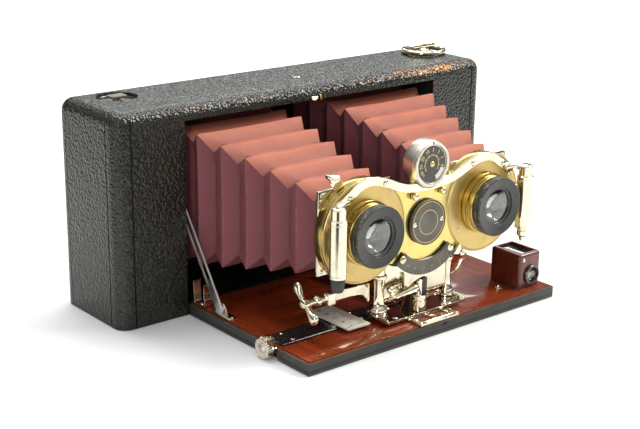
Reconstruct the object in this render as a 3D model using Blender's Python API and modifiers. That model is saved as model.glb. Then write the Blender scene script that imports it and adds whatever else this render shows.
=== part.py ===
"""Folding twin-lens stereo roll-film camera, modelled open for use.

Frame: metres, +Z up, origin at the centre of the body's flat underside.
-Y is the front (lens side), and +X is the viewer's right when looking at the lenses.
"""

import math

import bmesh
import bpy
from mathutils import Matrix, Vector

MM = 0.001
GAP = 0.3                      # clearance between neighbouring pieces
MODEL = "stereo_roll_film_camera"

# Body
WIDTH, DEPTH, HEIGHT = 254.0, 57.0, 112.0
FRONT, BACK = -DEPTH / 2, DEPTH / 2
COVER_THICK = 8.0              # the back cover is a shallow tray
COVER_SKIN = 4.0
WALL = 5.0
CORNER_R = 7.0
OPEN_HALF = 86.5               # half the width of the bellows opening
FLOOR, CEILING = 6.6, 104.0    # bottom and top of the bellows opening
PANEL_THICK = 6.0              # front panels over the spool bays
GATE_Y0, GATE_Y1 = 11.3, 14.3  # film gate plate

# Spools and their keys
SUPPLY_AXIS = (-102.5, 9.5)
TAKE_UP_AXIS = (110.5, 5.4)
BUTTON = (3.0, -5.0)           # bed release button
BAY_OUT = WIDTH / 2 - 4.5      # outer wall of the spool bays
FLANGE_R = 11.0
ROLL_R = 7.2                   # the film is shown half wound, so both rolls are alike
RECESS_R, RECESS_DEPTH = 11.0, 2.5
KEY_SHAFT_R, KEY_HOLE_R = 1.9, 2.3

# Drop bed
BED_HALF = 85.9
BED_LENGTH = 99.6
BED_FRONT = FRONT - BED_LENGTH
BED_BACK = FRONT - 0.7
SKIN = 1.2

# Lenses and front standard
LENS_X, LENS_Z = 41.0, 59.1
CASE_R = 26.4
CASE_BACK, CASE_FRONT = -107.6, -114.8
PLATE_BACK, PLATE_FRONT = -105.6, -107.3
DETAIL_BACK = CASE_FRONT - GAP
RING_R, RING_FRONT = 15.5, -126.6
RING_BACK = -121.8
DIAL_Z, DIAL_R, DIAL_FRONT, DIAL_BACK = 86.8, 11.9, -118.1, -108.6
HUB_Z = 56.5                   # centre of the name disc and of the aperture scale
CYLINDER_X, CYLINDER_Y = 64.2, -122.3

# Focusing and carriage
KNOB_Y, KNOB_Z, KNOB_R = -97.6, 5.5, 5.4
TRACK_Z0, TRACK_Z1 = 6.9, 7.9
CARRIAGE_Z0, CARRIAGE_Z1 = 8.2, 9.5
POST_X, POST_Y = 24.0, -107.1
CRANK_X, LEVER_Y = -2.9, -114.6

STEPS = 28                     # facets of the middle-sized round pieces


# ---------------------------------------------------------------- scene helpers

def clear_scene():
    for obj in list(bpy.data.objects):
        bpy.data.objects.remove(obj, do_unlink=True)
    for block in list(bpy.data.collections):
        bpy.data.collections.remove(block)


def new_collection(name):
    collection = bpy.data.collections.new(name)
    bpy.context.scene.collection.children.link(collection)
    return collection


def make_material(name, colour, roughness, metallic=0.0):
    material = bpy.data.materials.new(name)
    material.use_nodes = True
    shader = material.node_tree.nodes["Principled BSDF"]
    shader.inputs["Base Color"].default_value = (*colour, 1.0)
    shader.inputs["Roughness"].default_value = roughness
    shader.inputs["Metallic"].default_value = metallic
    return material


def add_object(name, mesh, group, material=None):
    obj = bpy.data.objects.new(name, mesh)
    group.objects.link(obj)
    if material:
        mesh.materials.append(material)
    if group is CUTTERS:
        obj.hide_render = True
        obj.display_type = "WIRE"
    return obj


def mesh_from(bm, name):
    bmesh.ops.recalc_face_normals(bm, faces=bm.faces)
    mesh = bpy.data.meshes.new(name)
    bm.to_mesh(mesh)
    bm.free()
    return mesh


# ---------------------------------------------------------------- shape helpers

def box(name, low, high, group, material=None, radius=0.0, segments=2, edges=None):
    """A box between two corners in mm; edges(middle, direction) picks those to round."""
    low, high = Vector(low) * MM, Vector(high) * MM
    bm = bmesh.new()
    bmesh.ops.create_cube(bm, size=1.0)
    size, middle = high - low, (low + high) / 2
    for vert in bm.verts:
        vert.co = Vector([vert.co[i] * size[i] for i in range(3)])
    if radius:
        picked = []
        for edge in bm.edges:
            place = (edge.verts[0].co + edge.verts[1].co) / 2
            along = (edge.verts[0].co - edge.verts[1].co).normalized()
            if edges is None or edges(place, along):
                picked.append(edge)
        bmesh.ops.bevel(bm, geom=picked, offset=radius * MM, segments=segments,
                        profile=0.5, affect="EDGES", clamp_overlap=True)
    obj = add_object(name, mesh_from(bm, name), group, material)
    obj.location = middle
    return obj


AXIS_TURN = {
    "Z": Matrix(),
    "-Y": Matrix.Rotation(math.pi / 2, 4, "X"),
    "-X": Matrix.Rotation(-math.pi / 2, 4, "Y"),
}


def turned(name, place, axis, profile, group, material=None, steps=STEPS, ring=False):
    """A profile of (radius, height) in mm, outer side from top to bottom, spun about axis."""
    bm = bmesh.new()
    verts = [bm.verts.new((r * MM, 0.0, h * MM)) for r, h in profile]
    for first, second in zip(verts, verts[1:]):
        bm.edges.new((first, second))
    if ring:
        bm.edges.new((verts[-1], verts[0]))
    mesh = bpy.data.meshes.new(name)
    bm.to_mesh(mesh)
    bm.free()
    obj = add_object(name, mesh, group, material)
    screw = obj.modifiers.new("Screw", "SCREW")
    screw.steps = steps
    screw.render_steps = steps
    screw.use_merge_vertices = True
    screw.merge_threshold = 0.00001
    screw.use_smooth_shade = True
    obj.matrix_world = Matrix.Translation(Vector(place) * MM) @ AXIS_TURN[axis]
    return obj


def disc(name, place, axis, radius, low, high, group, material=None, steps=STEPS):
    """A plain round slug of a radius between two heights along axis."""
    profile = [(0, high), (radius, high), (radius, low), (0, low)]
    return turned(name, place, axis, profile, group, material, steps)


def outline_plate(name, outline, plane, low, high, group, material=None):
    """A flat outline extruded from low to high: plane XZ faces the front, YZ the side."""
    curve = bpy.data.curves.new(name, "CURVE")
    curve.dimensions = "2D"
    curve.fill_mode = "BOTH"
    curve.extrude = (high - low) / 2 * MM
    spline = curve.splines.new("POLY")
    spline.points.add(len(outline) - 1)
    for point, (a, b) in zip(spline.points, outline):
        point.co = (a * MM, b * MM, 0.0, 1.0)
    spline.use_cyclic_u = True
    shape = bpy.data.objects.new(name + "_outline", curve)
    PARTS.objects.link(shape)
    if plane == "XZ":
        turn = Matrix.Translation((0, (low + high) / 2 * MM, 0)) @ Matrix.Rotation(math.pi / 2, 4, "X")
    elif plane == "YZ":
        turn = Matrix.Translation(((low + high) / 2 * MM, 0, 0))
        turn = turn @ Matrix.Rotation(math.pi / 2, 4, "Z") @ Matrix.Rotation(math.pi / 2, 4, "X")
    else:
        turn = Matrix.Translation((0, 0, (low + high) / 2 * MM))
    shape.matrix_world = turn
    return curve_to_mesh(shape, name, group, material)


def tube(name, points, radius, group, material=None, resolution=2):
    """A round bar through points in mm."""
    curve = bpy.data.curves.new(name, "CURVE")
    curve.dimensions = "3D"
    curve.bevel_depth = radius * MM
    curve.bevel_resolution = resolution
    curve.use_fill_caps = True
    spline = curve.splines.new("POLY")
    spline.points.add(len(points) - 1)
    for point, place in zip(spline.points, points):
        point.co = (*(Vector(place) * MM), 1.0)
    shape = bpy.data.objects.new(name + "_path", curve)
    PARTS.objects.link(shape)
    return curve_to_mesh(shape, name, group, material)


def curve_to_mesh(shape, name, group, material):
    bpy.context.view_layer.update()
    evaluated = shape.evaluated_get(bpy.context.evaluated_depsgraph_get())
    mesh = bpy.data.meshes.new_from_object(evaluated)
    bm = bmesh.new()
    bm.from_mesh(mesh)
    bmesh.ops.remove_doubles(bm, verts=bm.verts, dist=1e-7)
    bmesh.ops.recalc_face_normals(bm, faces=bm.faces)
    bm.to_mesh(mesh)
    bm.free()
    mesh.name = name
    mesh.materials.clear()
    obj = add_object(name, mesh, group, material)
    obj.matrix_world = shape.matrix_world.copy()
    bpy.data.objects.remove(shape, do_unlink=True)
    return obj


def boolean(target, tool, operation):
    modifier = target.modifiers.new(operation.title(), "BOOLEAN")
    modifier.operation = operation
    modifier.solver = "EXACT"
    modifier.object = tool


def cut(target, *tools):
    for tool in tools:
        boolean(target, tool, "DIFFERENCE")


def join(target, *tools):
    for tool in tools:
        boolean(target, tool, "UNION")


def arc(centre, radius, start, stop, count):
    """Points on an arc, angles in degrees, both ends included."""
    points = []
    for i in range(count + 1):
        angle = math.radians(start + (stop - start) * i / count)
        points.append((centre[0] + radius * math.cos(angle), centre[1] + radius * math.sin(angle)))
    return points


def capsule_outline(start, stop, radius, count=6):
    """A straight bar's outline with round ends."""
    heading = math.degrees(math.atan2(stop[1] - start[1], stop[0] - start[0]))
    outline = arc(stop, radius, heading - 90, heading + 90, count)
    return outline + arc(start, radius, heading + 90, heading + 270, count)


# ---------------------------------------------------------------- body

def outer_edges(sign):
    """Picks the upright, long top and side top edges on the front (-1) or rear (+1) half."""
    def pick(place, along):
        upright = abs(along.z) > 0.9 and place.y * sign > 0
        top_long = abs(along.x) > 0.9 and place.z > 0 and place.y * sign > 0
        top_side = abs(along.y) > 0.9 and place.z > 0
        return upright or top_long or top_side
    return pick


def body_shell():
    half, rear = WIDTH / 2, BACK - COVER_THICK - GAP
    shell = box("body_shell", (-half, FRONT, 0), (half, rear, HEIGHT), PARTS, LEATHER,
                CORNER_R, 5, outer_edges(-1))
    hole = [(0, 3), (3.5, 3), (3.5, -2.5), (1.6, -2.5), (1.6, -11), (0, -11)]
    cut(shell, turned("button_hole", (*BUTTON, HEIGHT), "Z", hole, CUTTERS, None, 16))
    cut(shell, box("chamber_cut", (-OPEN_HALF, FRONT - 2, FLOOR), (OPEN_HALF, 12, CEILING), CUTTERS))
    cut(shell, box("film_path_cut", (-BAY_OUT, GATE_Y0 - GAP, WALL), (BAY_OUT, rear + 2, HEIGHT - WALL),
                   CUTTERS))
    bay_in = OPEN_HALF + 3.5
    for side, name, axis in ((-1, "left", SUPPLY_AXIS), (1, "right", TAKE_UP_AXIS)):
        low, high = sorted((side * bay_in, side * BAY_OUT))
        cut(shell, box("bay_cut_" + name, (low, FRONT + PANEL_THICK, WALL),
                       (high, 12, HEIGHT - WALL), CUTTERS))
        profile = [(0, 3), (KEY_HOLE_R, 3), (KEY_HOLE_R, -9), (0, -9)]
        if side < 0:
            profile[1:2] = [(RECESS_R, 3), (RECESS_R, -RECESS_DEPTH), (KEY_HOLE_R, -RECESS_DEPTH)]
        cut(shell, turned("key_hole_" + name, (*axis, HEIGHT), "Z", profile, CUTTERS))


def back_cover():
    half = WIDTH / 2
    cover = box("back_cover", (-half, BACK - COVER_THICK, 0), (half, BACK, HEIGHT), PARTS, LEATHER,
                CORNER_R, 5, outer_edges(1))
    cut(cover, box("cover_hollow", (-BAY_OUT, BACK - COVER_THICK - 2, WALL),
                   (BAY_OUT, BACK - COVER_SKIN, HEIGHT - WALL), CUTTERS))
    cut(cover, turned("window_hole", (LENS_X, BACK, LENS_Z), "-Y",
                      [(0, 12), (7.0, 12), (7.0, 2.2), (5.0, 2.2), (5.0, -2), (0, -2)],
                      CUTTERS, None, 20))


def ruby_window():
    disc("ruby_window", (LENS_X, BACK, LENS_Z), "-Y", 6.7, 2.5, 3.8, PARTS, RUBY, 20)


def window_cover():
    """A teardrop plate that swings on its upper end over the ruby window."""
    pivot_z = LENS_Z + 13
    outline = arc((LENS_X, LENS_Z), 7.5, 150, 390, 16)
    outline += arc((LENS_X, pivot_z), 3.0, 30, 150, 6)
    outline_plate("window_cover", outline, "XZ", BACK + GAP, BACK + 1.2, PARTS, NICKEL)


def film_gate():
    """The plate behind the bellows with one picture opening for each lens."""
    gate = box("film_gate", (-OPEN_HALF - 3.0, GATE_Y0, WALL + GAP),
               (OPEN_HALF + 3.0, GATE_Y1, HEIGHT - WALL - GAP), PARTS, ENAMEL)
    for side, name in ((-1, "left"), (1, "right")):
        cut(gate, box("aperture_cut_" + name, (side * 49.0 - 34, 8, 28),
                      (side * 49.0 + 34, 18, 98), CUTTERS))


def spool(name, axis):
    """Core, two flanges and the paper wound on them, with a socket for the key's shaft."""
    low, high = WALL + 1.5, HEIGHT - WALL - 1.2
    profile = [(KEY_HOLE_R, high), (FLANGE_R, high), (FLANGE_R, high - 1.2), (ROLL_R, high - 1.2),
               (ROLL_R, low + 1.2), (FLANGE_R, low + 1.2), (FLANGE_R, low), (0, low),
               (0, high - 5), (KEY_HOLE_R, high - 5)]
    turned(name, (*axis, 0), "Z", profile, PARTS, PAPER, ring=True)


def spools_and_keys():
    spool("supply_spool", SUPPLY_AXIS)
    spool("take_up_spool", TAKE_UP_AXIS)
    x, y = SUPPLY_AXIS
    pull = disc("spool_pull_key", (x, y, HEIGHT), "Z", KEY_SHAFT_R, -9.5, -0.6, PARTS, NICKEL)
    join(pull, box("pull_tab", (x - 8, y - 0.8, HEIGHT - RECESS_DEPTH + 0.4),
                   (x + 8, y + 0.8, HEIGHT + 1.2), CUTTERS, None, 0.5, 2))
    turned("key_socket", (*TAKE_UP_AXIS, HEIGHT), "Z",
           [(13.0, 3.0), (13.6, 2.3), (13.6, GAP), (10.8, GAP), (10.8, 2.3), (11.4, 3.0)],
           PARTS, NICKEL, 32, ring=True)
    key = turned("winding_key", (*TAKE_UP_AXIS, HEIGHT), "Z",
                 [(0, 2.6), (3.6, 2.6), (4.2, 2.0), (4.2, 0.4), (KEY_SHAFT_R, 0.4),
                  (KEY_SHAFT_R, -9.5), (0, -9.5)], PARTS, NICKEL)
    x, y = TAKE_UP_AXIS
    wing_z = HEIGHT + 3.2
    wing = arc((x + 7.4, wing_z), 2.2, -90, 90, 8) + arc((x, wing_z + 1.2), 2.2, 30, 150, 4)
    wing += arc((x - 7.4, wing_z), 2.2, 90, 270, 8)
    join(key, outline_plate("key_wing", wing, "XZ", y - 0.9, y + 0.9, CUTTERS))


def latch_button():
    """The press button in its recess and the catch plate on its stem."""
    button = turned("latch_button", (*BUTTON, HEIGHT), "Z",
                    [(0, 0.6), (2.6, 0.6), (3.1, 0.2), (3.1, -0.6), (1.2, -0.6), (1.2, -9.0), (0, -9.0)],
                    PARTS, NICKEL, 16)
    join(button, box("catch_plate", (BUTTON[0] - 4, FRONT + 2, CEILING - 2.0),
                     (BUTTON[0] + 4, BUTTON[1] + 3, CEILING - 0.5), CUTTERS))


# ---------------------------------------------------------------- bed

def bed():
    leather = box("bed_leather", (-BED_HALF, BED_FRONT, 0), (BED_HALF, BED_BACK, FLOOR - 0.3),
                  PARTS, LEATHER)
    inner = BED_HALF - SKIN
    cut(leather, box("tray_cut", (-inner, BED_FRONT + SKIN, SKIN), (inner, BED_BACK + 5, 20), CUTTERS))
    board = box("bed_board", (-inner + GAP, BED_FRONT + SKIN + GAP, SKIN + GAP),
                (inner - GAP, BED_BACK, FLOOR), PARTS, MAHOGANY)
    notch = box("knob_notch", (-BED_HALF - 2, KNOB_Y - KNOB_R - 0.5, -1),
                (-84.2, KNOB_Y + KNOB_R + 0.5, 12), CUTTERS)
    groove = box("shaft_groove", (-BED_HALF - 2, KNOB_Y - 1.7, KNOB_Z - 1.7),
                 (-1.5, KNOB_Y + 1.7, 12), CUTTERS)
    pinion_well = box("pinion_well", (-12.5, KNOB_Y - 3.1, KNOB_Z - 3.1),
                      (-1.5, KNOB_Y + 3.1, 12), CUTTERS)
    bush_hole = disc("bush_hole", (0, -70, 0), "Z", 6.4, -1, 5.2, CUTTERS, None, 24)
    hinge_slot = box("hinge_slot", (-60, BED_BACK - 3.4, -1), (60, BED_BACK + 2, 3.4), CUTTERS)
    for target in (leather, board):
        cut(target, notch, groove, bush_hole, hinge_slot)
    cut(board, pinion_well)
    disc("bed_hinge_pin", (0, BED_BACK - 1.6, 1.7), "-X", 1.3, -59.5, 59.5, PARTS, NICKEL, 12)
    turned("tripod_bush", (0, -70, 0), "Z",
           [(6.1, 4.8), (6.1, 0.0), (3.2, 0.0), (3.2, 4.8)], PARTS, BRASS, 24, ring=True)
    box("pinion_cover", (-83.2, KNOB_Y - 7.0, FLOOR + GAP), (-16, KNOB_Y + 7.0, FLOOR + 1.3),
        PARTS, ENAMEL, 0.4, 1)
    box("distance_scale", (-48.4, -112.6, FLOOR + 2.0), (-34.0, -81.2, FLOOR + 2.8),
        PARTS, NICKEL)


def focus_knob():
    """Knurled knob, cross shaft and pinion in one piece."""
    profile = [(0, 91.0), (4.6, 91.0), (KNOB_R, 90.2), (KNOB_R, 84.9), (1.3, 84.9),
               (1.3, 12.0), (2.6, 12.0), (2.6, 2.2), (0, 2.2)]
    turned("focus_knob", (0, KNOB_Y, KNOB_Z), "-X", profile, PARTS, NICKEL, 24)


def focus_track():
    """The nickel slide that the pinion moves, with its front openings."""
    track = box("focus_track", (-13.3, BED_FRONT + 0.4, TRACK_Z0), (13.3, -40.0, TRACK_Z1),
                PARTS, NICKEL)
    cut(track, box("rack_slot", (-12.0, KNOB_Y - 12.5, 5), (-2.0, KNOB_Y + 4.0, 12), CUTTERS))
    cut(track, box("front_slot_a", (-9.5, -124.0, 5), (-1.5, -117.8, 12), CUTTERS))
    cut(track, box("front_slot_b", (1.5, -124.0, 5), (9.5, -117.8, 12), CUTTERS))
    cut(track, box("centre_slot", (2.0, -110.0, 5), (9.5, -50.0, 12), CUTTERS))


# ---------------------------------------------------------------- struts

PIVOT_Y, PIVOT_Z = FRONT - 27.0, 11.3
STRUT_TOP = (FRONT + 12.0, 67.0)
STRUT_HALF = 3.0               # half the width of a strut arm
SLOT_START = 17.5              # from the pivot to the lower end of the slot


def along_strut(distance):
    """A point on the strut's centre line, as (y, z), at a distance above its pivot."""
    rise = Vector((STRUT_TOP[0] - PIVOT_Y, STRUT_TOP[1] - PIVOT_Z))
    return (PIVOT_Y + rise.x / rise.length * distance, PIVOT_Z + rise.y / rise.length * distance)


def struts():
    """Slotted arms from the bed to a stud inside the body, and the spring catches that hold them."""
    reach = math.dist((PIVOT_Y, PIVOT_Z), STRUT_TOP)
    for side, name in ((-1, "left"), (1, "right")):
        low, high = sorted((side * 85.0, side * 85.9))
        arm = outline_plate("strut_arm_" + name, capsule_outline((PIVOT_Y, PIVOT_Z), STRUT_TOP, STRUT_HALF),
                            "YZ", low, high, PARTS, NICKEL)
        slot = capsule_outline(along_strut(SLOT_START), along_strut(reach - 1.0), 1.45)
        cut(arm, outline_plate("strut_slot_" + name, slot, "YZ", side * 85.4 - 2, side * 85.4 + 2, CUTTERS))
        stud = [(0, 86.3), (1.1, 86.3), (1.1, 84.6), (2.6, 84.6), (2.6, 83.6), (0, 83.6)]
        if side > 0:
            stud = [(r, -h) for r, h in reversed(stud)]
        turned("strut_stud_" + name, (0, *along_strut(reach - 6.0)), "-X", stud, PARTS, NICKEL, 14)
        low, high = sorted((side * 83.6, side * 84.6))
        foot = [(PIVOT_Y - 8, FLOOR + GAP), (PIVOT_Y + 9, FLOOR + GAP), (PIVOT_Y + 9, FLOOR + 1.6)]
        foot += arc((PIVOT_Y, PIVOT_Z), 3.6, 20, 160, 8)
        foot += [(PIVOT_Y - 5, FLOOR + 1.6), (PIVOT_Y - 8, FLOOR + 1.6)]
        outline_plate("strut_bracket_" + name, foot, "YZ", low, high, PARTS, NICKEL)
        low, high = sorted((side * 80.2, side * 84.7))
        outline_plate("strut_catch_" + name, catch_outline(), "YZ", low, high, PARTS, NICKEL)


def catch_outline():
    """A bent strip: a foot on the bed, a front leg under the strut and a curled rear leg."""
    near, far, foot, thick = FRONT - 12.6, FRONT - 2.6, FLOOR + GAP, 0.7
    outer = [(near, foot), (near + 0.8, foot + 7.0), (near - 0.8, foot + 12.4)]
    inner = [(near - 0.1, foot + 12.4), (near + 1.5, foot + 7.0), (near + 0.7, foot + thick)]
    rear = [(far - 0.7, foot + thick), (far + 0.6, foot + 12.4), (far - 0.9, foot + 12.4),
            (far - 0.9, foot + 13.1), (far + 1.4, foot + 13.1), (far, foot)]
    return outer + inner + rear


# ---------------------------------------------------------------- finder

FINDER_LOW, FINDER_HIGH = (65.0, FRONT - 93.0, FLOOR + GAP), (81.5, FRONT - 71.5, 26.2)
FINDER_LENS_X, FINDER_LENS_Z, FINDER_LENS_R = 74.3, 13.6, 5.5


def finder():
    """The reflecting finder: hollow box, front lens, sloping mirror and top glass."""
    def top_edges(place, along):
        return place.z > 0 or abs(along.z) > 0.9

    low, high = Vector(FINDER_LOW), Vector(FINDER_HIGH)
    shell = box("finder_box", low, high, PARTS, MAHOGANY, 1.2, 2, top_edges)
    wall = Vector((2.2, 2.2, 1.5))
    cut(shell, box("finder_hollow", low + wall, (high.x - 2.2, high.y - 2.2, high.z + 3), CUTTERS))
    lens_place = (FINDER_LENS_X, low.y, FINDER_LENS_Z)
    cut(shell, disc("finder_lens_hole", lens_place, "-Y", 4.3, -5, 3, CUTTERS, None, 24))
    turned("finder_lens_ring", lens_place, "-Y",
           [(4.7, 1.5), (FINDER_LENS_R, 1.0), (FINDER_LENS_R, GAP), (4.0, GAP), (4.0, 1.5)],
           PARTS, ENAMEL, 24, ring=True)
    disc("finder_lens", lens_place, "-Y", 3.7, -1.6, 0.9, PARTS, GLASS, 24)
    inside_low, inside_high = low + wall, high - Vector((2.2, 2.2, 0))
    box("finder_glass", (inside_low.x + GAP, inside_low.y + GAP, high.z - 2.6),
        (inside_high.x - GAP, inside_high.y - GAP, high.z - 1.4), PARTS, GLASS)
    y0, y1 = inside_low.y + 1.0, inside_high.y - GAP
    z0, z1 = inside_low.z + GAP, high.z - 3.2
    outline = [(y0 + 1.2, z0), (y1, z1 - 1.2), (y1, z1), (y0, z0)]
    outline_plate("finder_mirror", outline, "YZ", inside_low.x + GAP, inside_high.x - GAP,
                  PARTS, MIRROR)


# ---------------------------------------------------------------- front standard

def carriage():
    base = box("carriage_base", (-27.6, -118.2, CARRIAGE_Z0), (27.6, -101.0, CARRIAGE_Z1), PARTS, NICKEL)
    cut(base, disc("crank_hole", (CRANK_X, LEVER_Y, 0), "Z", 1.9, 0, 20, CUTTERS, None, 16))
    quadrant = arc((7.0, 6.0), 20.0, 90, 165, 8) + [(-10.0, CARRIAGE_Z0 + 0.2), (7.0, CARRIAGE_Z0 + 0.2)]
    join(base, outline_plate("quadrant_plate", quadrant, "XZ", -109.3, -108.2, CUTTERS))
    for side, name in ((-1, "left"), (1, "right")):
        turned("post_" + name, (side * POST_X, POST_Y, 0), "Z",
               [(0, 36.6), (2.3, 36.6), (2.3, 31.0), (2.9, 31.0), (2.9, 29.5), (2.3, 29.0), (2.3, 15.0),
                (3.4, 13.5), (3.4, CARRIAGE_Z1 + GAP), (0, CARRIAGE_Z1 + GAP)], PARTS, NICKEL, 16)


BALL = (-22.8, LEVER_Y, 25.0)


def rail_catch_lever():
    """The cranked lever with a ball end that frees the carriage from the track."""
    path = [BALL, (-20.8, LEVER_Y, 19.5), (-17.8, LEVER_Y, 19.5), (-5.3, LEVER_Y, 23.0),
            (-3.5, LEVER_Y, 22.4), (CRANK_X, LEVER_Y, 20.5), (CRANK_X, LEVER_Y, TRACK_Z1 + GAP)]
    lever = tube("rail_catch_lever", path, 1.25, PARTS, NICKEL)
    ball = turned("lever_ball", BALL, "Z",
                  [(x, z) for x, z in arc((0, 0), 2.5, 90, -90, 8)], CUTTERS, None, 14)
    collar = turned("lever_collar", (CRANK_X, LEVER_Y, 0), "Z",
                    [(0, 16.5), (2.6, 16.5), (3.1, 15.8), (3.1, CARRIAGE_Z1 + GAP), (0, CARRIAGE_Z1 + GAP)],
                    CUTTERS, None, 16)
    join(lever, ball, collar)


CLAMP_Y, CLAMP_Z = FRONT - 77.4, 26.2


def clamp():
    """Arched side bracket and the double-paddle clamp lever on its cross shaft."""
    arched = [(-57.5, 31.5), (-57.5, 23.5), (-55.5, 23.5)]
    arched += arc((-44.5, 12.0), 15.0, 130, 50, 10)
    arched += [(-33.5, 19.5), (-27.0, 19.5), (-27.0, 31.5)]
    bracket = outline_plate("clamp_bracket", arched, "XZ", -105.2, -103.8, PARTS, NICKEL)
    join(bracket, box("clamp_block", (-57.5, -108.5, 22.5), (-52.5, -103.8, 28.5), CUTTERS))
    cut(bracket, disc("clamp_bore", (0, CLAMP_Y, CLAMP_Z), "-X", 1.5, 40, 70, CUTTERS, None, 16))
    shaft = turned("clamp_lever", (0, CLAMP_Y, CLAMP_Z), "-X",
                   [(0, 73.2), (2.6, 73.2), (2.6, 68.0), (2.0, 68.0), (2.0, 64.5), (2.7, 64.0), (2.7, 62.0),
                    (2.0, 61.5), (2.0, 57.9), (1.2, 57.9), (1.2, 53.0), (0, 53.0)], PARTS, NICKEL, 16)
    join(shaft, outline_plate("paddle", paddle_outline(), "YZ", -71.6, -69.6, CUTTERS))


def paddle_outline():
    """Two unequal paddles on one bar, rising to the back and falling to the front."""
    heading = 139.0
    tip, tail = 11.0, 10.5

    def along(distance):
        angle = math.radians(heading)
        return CLAMP_Y - distance * math.cos(angle), CLAMP_Z + distance * math.sin(angle)

    axis = math.degrees(math.atan2(along(1)[1] - CLAMP_Z, along(1)[0] - CLAMP_Y))
    upper, lower = along(tip - 3.0), along(-tail + 3.2)
    outline = arc(upper, 3.0, axis - 110, axis + 110, 10)
    outline += arc((CLAMP_Y, CLAMP_Z), 2.0, axis + 60, axis + 120, 3)
    outline += arc(lower, 3.3, axis + 70, axis + 290, 10)
    return outline + arc((CLAMP_Y, CLAMP_Z), 2.0, axis - 120, axis - 60, 3)


def shutter_case():
    case = disc("shutter_case", (-LENS_X, 0, LENS_Z), "-Y", CASE_R, -CASE_BACK, -CASE_FRONT,
                PARTS, BRASS, 44)
    join(case, disc("case_right", (LENS_X, 0, LENS_Z), "-Y", CASE_R, -CASE_BACK, -CASE_FRONT,
                    CUTTERS, None, 44))
    join(case, outline_plate("case_neck", neck_outline(), "XZ", CASE_FRONT, CASE_BACK, CUTTERS))
    cut(case, disc("dial_clearance", (0, 0, DIAL_Z), "-Y", DIAL_R + GAP, 100, 125, CUTTERS, None, 40))
    for side, name in ((-1, "left"), (1, "right")):
        cut(case, disc("blade_recess_" + name, (side * LENS_X, 0, LENS_Z), "-Y", 21.0,
                       100, -CASE_BACK + 3.0, CUTTERS, None, 32))
        cut(case, disc("light_hole_" + name, (side * LENS_X, 0, LENS_Z), "-Y", 6.2, 100, 125,
                       CUTTERS, None, 20))


def neck_outline():
    """The waist between the two round housings."""
    upper = [(-26.0, 79.0), (-15.0, 74.5), (15.0, 74.5), (26.0, 79.0)]
    lower = [(24.0, 40.0), (14.0, 37.5), (0.0, 36.6), (-14.0, 37.5), (-24.0, 40.0)]
    return upper + lower


def lens_sets():
    for side, name in ((-1, "left"), (1, "right")):
        place = (side * LENS_X, 0, LENS_Z)
        turned("lens_barrel_" + name, place, "-Y",
               [(15.4, -RING_BACK - GAP), (15.4, 118.8), (16.2, 118.8), (16.2, -DETAIL_BACK),
                (9.2, -DETAIL_BACK), (9.2, -RING_BACK - GAP)], PARTS, BRASS, 36, ring=True)
        turned("lens_ring_" + name, place, "-Y",
               [(14.6, -RING_FRONT), (RING_R, -RING_FRONT - 0.8), (RING_R, -RING_BACK),
                (9.2, -RING_BACK), (9.2, -RING_FRONT - 2.2), (9.9, -RING_FRONT)],
               PARTS, ENAMEL, 36, ring=True)
        dome = arc((0, 98.5), 25.0, 90, 90 - math.degrees(math.asin(8.8 / 25.0)), 4)
        turned("lens_" + name, place, "-Y", dome + [(8.8, 118.6), (0, 118.6)], PARTS, GLASS, 28)
        blade_pivot = (side * (LENS_X - 13.5), LENS_Z)
        outline_plate("shutter_blade_" + name, blade_outline(side * LENS_X, blade_pivot), "XZ",
                      CASE_BACK - 2.0, CASE_BACK - 1.2, PARTS, ENAMEL)


def blade_outline(lens_x, pivot):
    """A round flag over the light hole on an arm from its pivot."""
    heading = 0 if pivot[0] > lens_x else 180
    outline = arc((lens_x, LENS_Z), 7.0, heading + 25, heading + 335, 18)
    return outline + arc(pivot, 2.4, heading - 90, heading + 90, 8)


def bellows_plates():
    for side, name in ((-1, "left"), (1, "right")):
        low, high = sorted((side * 18.6, side * 64.2))
        plate = box("bellows_plate_" + name, (low, PLATE_FRONT, 39.0), (high, PLATE_BACK, 81.4),
                    PARTS, NICKEL)
        cut(plate, disc("plate_hole_" + name, (side * LENS_X, 0, LENS_Z), "-Y", 12.0, 100, 110,
                        CUTTERS, None, 24))


def top_band():
    """The nickel strap that follows the top of the case from cylinder to cylinder."""
    centre_line = [(-60.5, 73.5), (-57.0, 76.0), (-50.5, 79.5), (-46.0, 82.6), (-41.0, 84.1), (-35.0, 83.8),
                   (-28.0, 81.6), (-20.0, 78.2), (-13.0, 76.4), (0.0, 75.5)]
    centre_line += [(-x, z) for x, z in reversed(centre_line[:-1])]
    half = 2.2
    upper = [(x, z + half) for x, z in centre_line]
    lower = [(x, z - half) for x, z in reversed(centre_line)]
    band = outline_plate("top_band", upper + lower, "XZ", DETAIL_BACK - 2.4, DETAIL_BACK, PARTS, NICKEL)
    cut(band, disc("band_clearance", (0, 0, DIAL_Z), "-Y", DIAL_R + GAP, 100, 125, CUTTERS, None, 40))
    for side, name in ((-1, "left"), (1, "right")):
        cut(band, disc("barrel_clearance_" + name, (side * LENS_X, 0, LENS_Z), "-Y", 17.0, 100, 125,
                       CUTTERS, None, 32))


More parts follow.
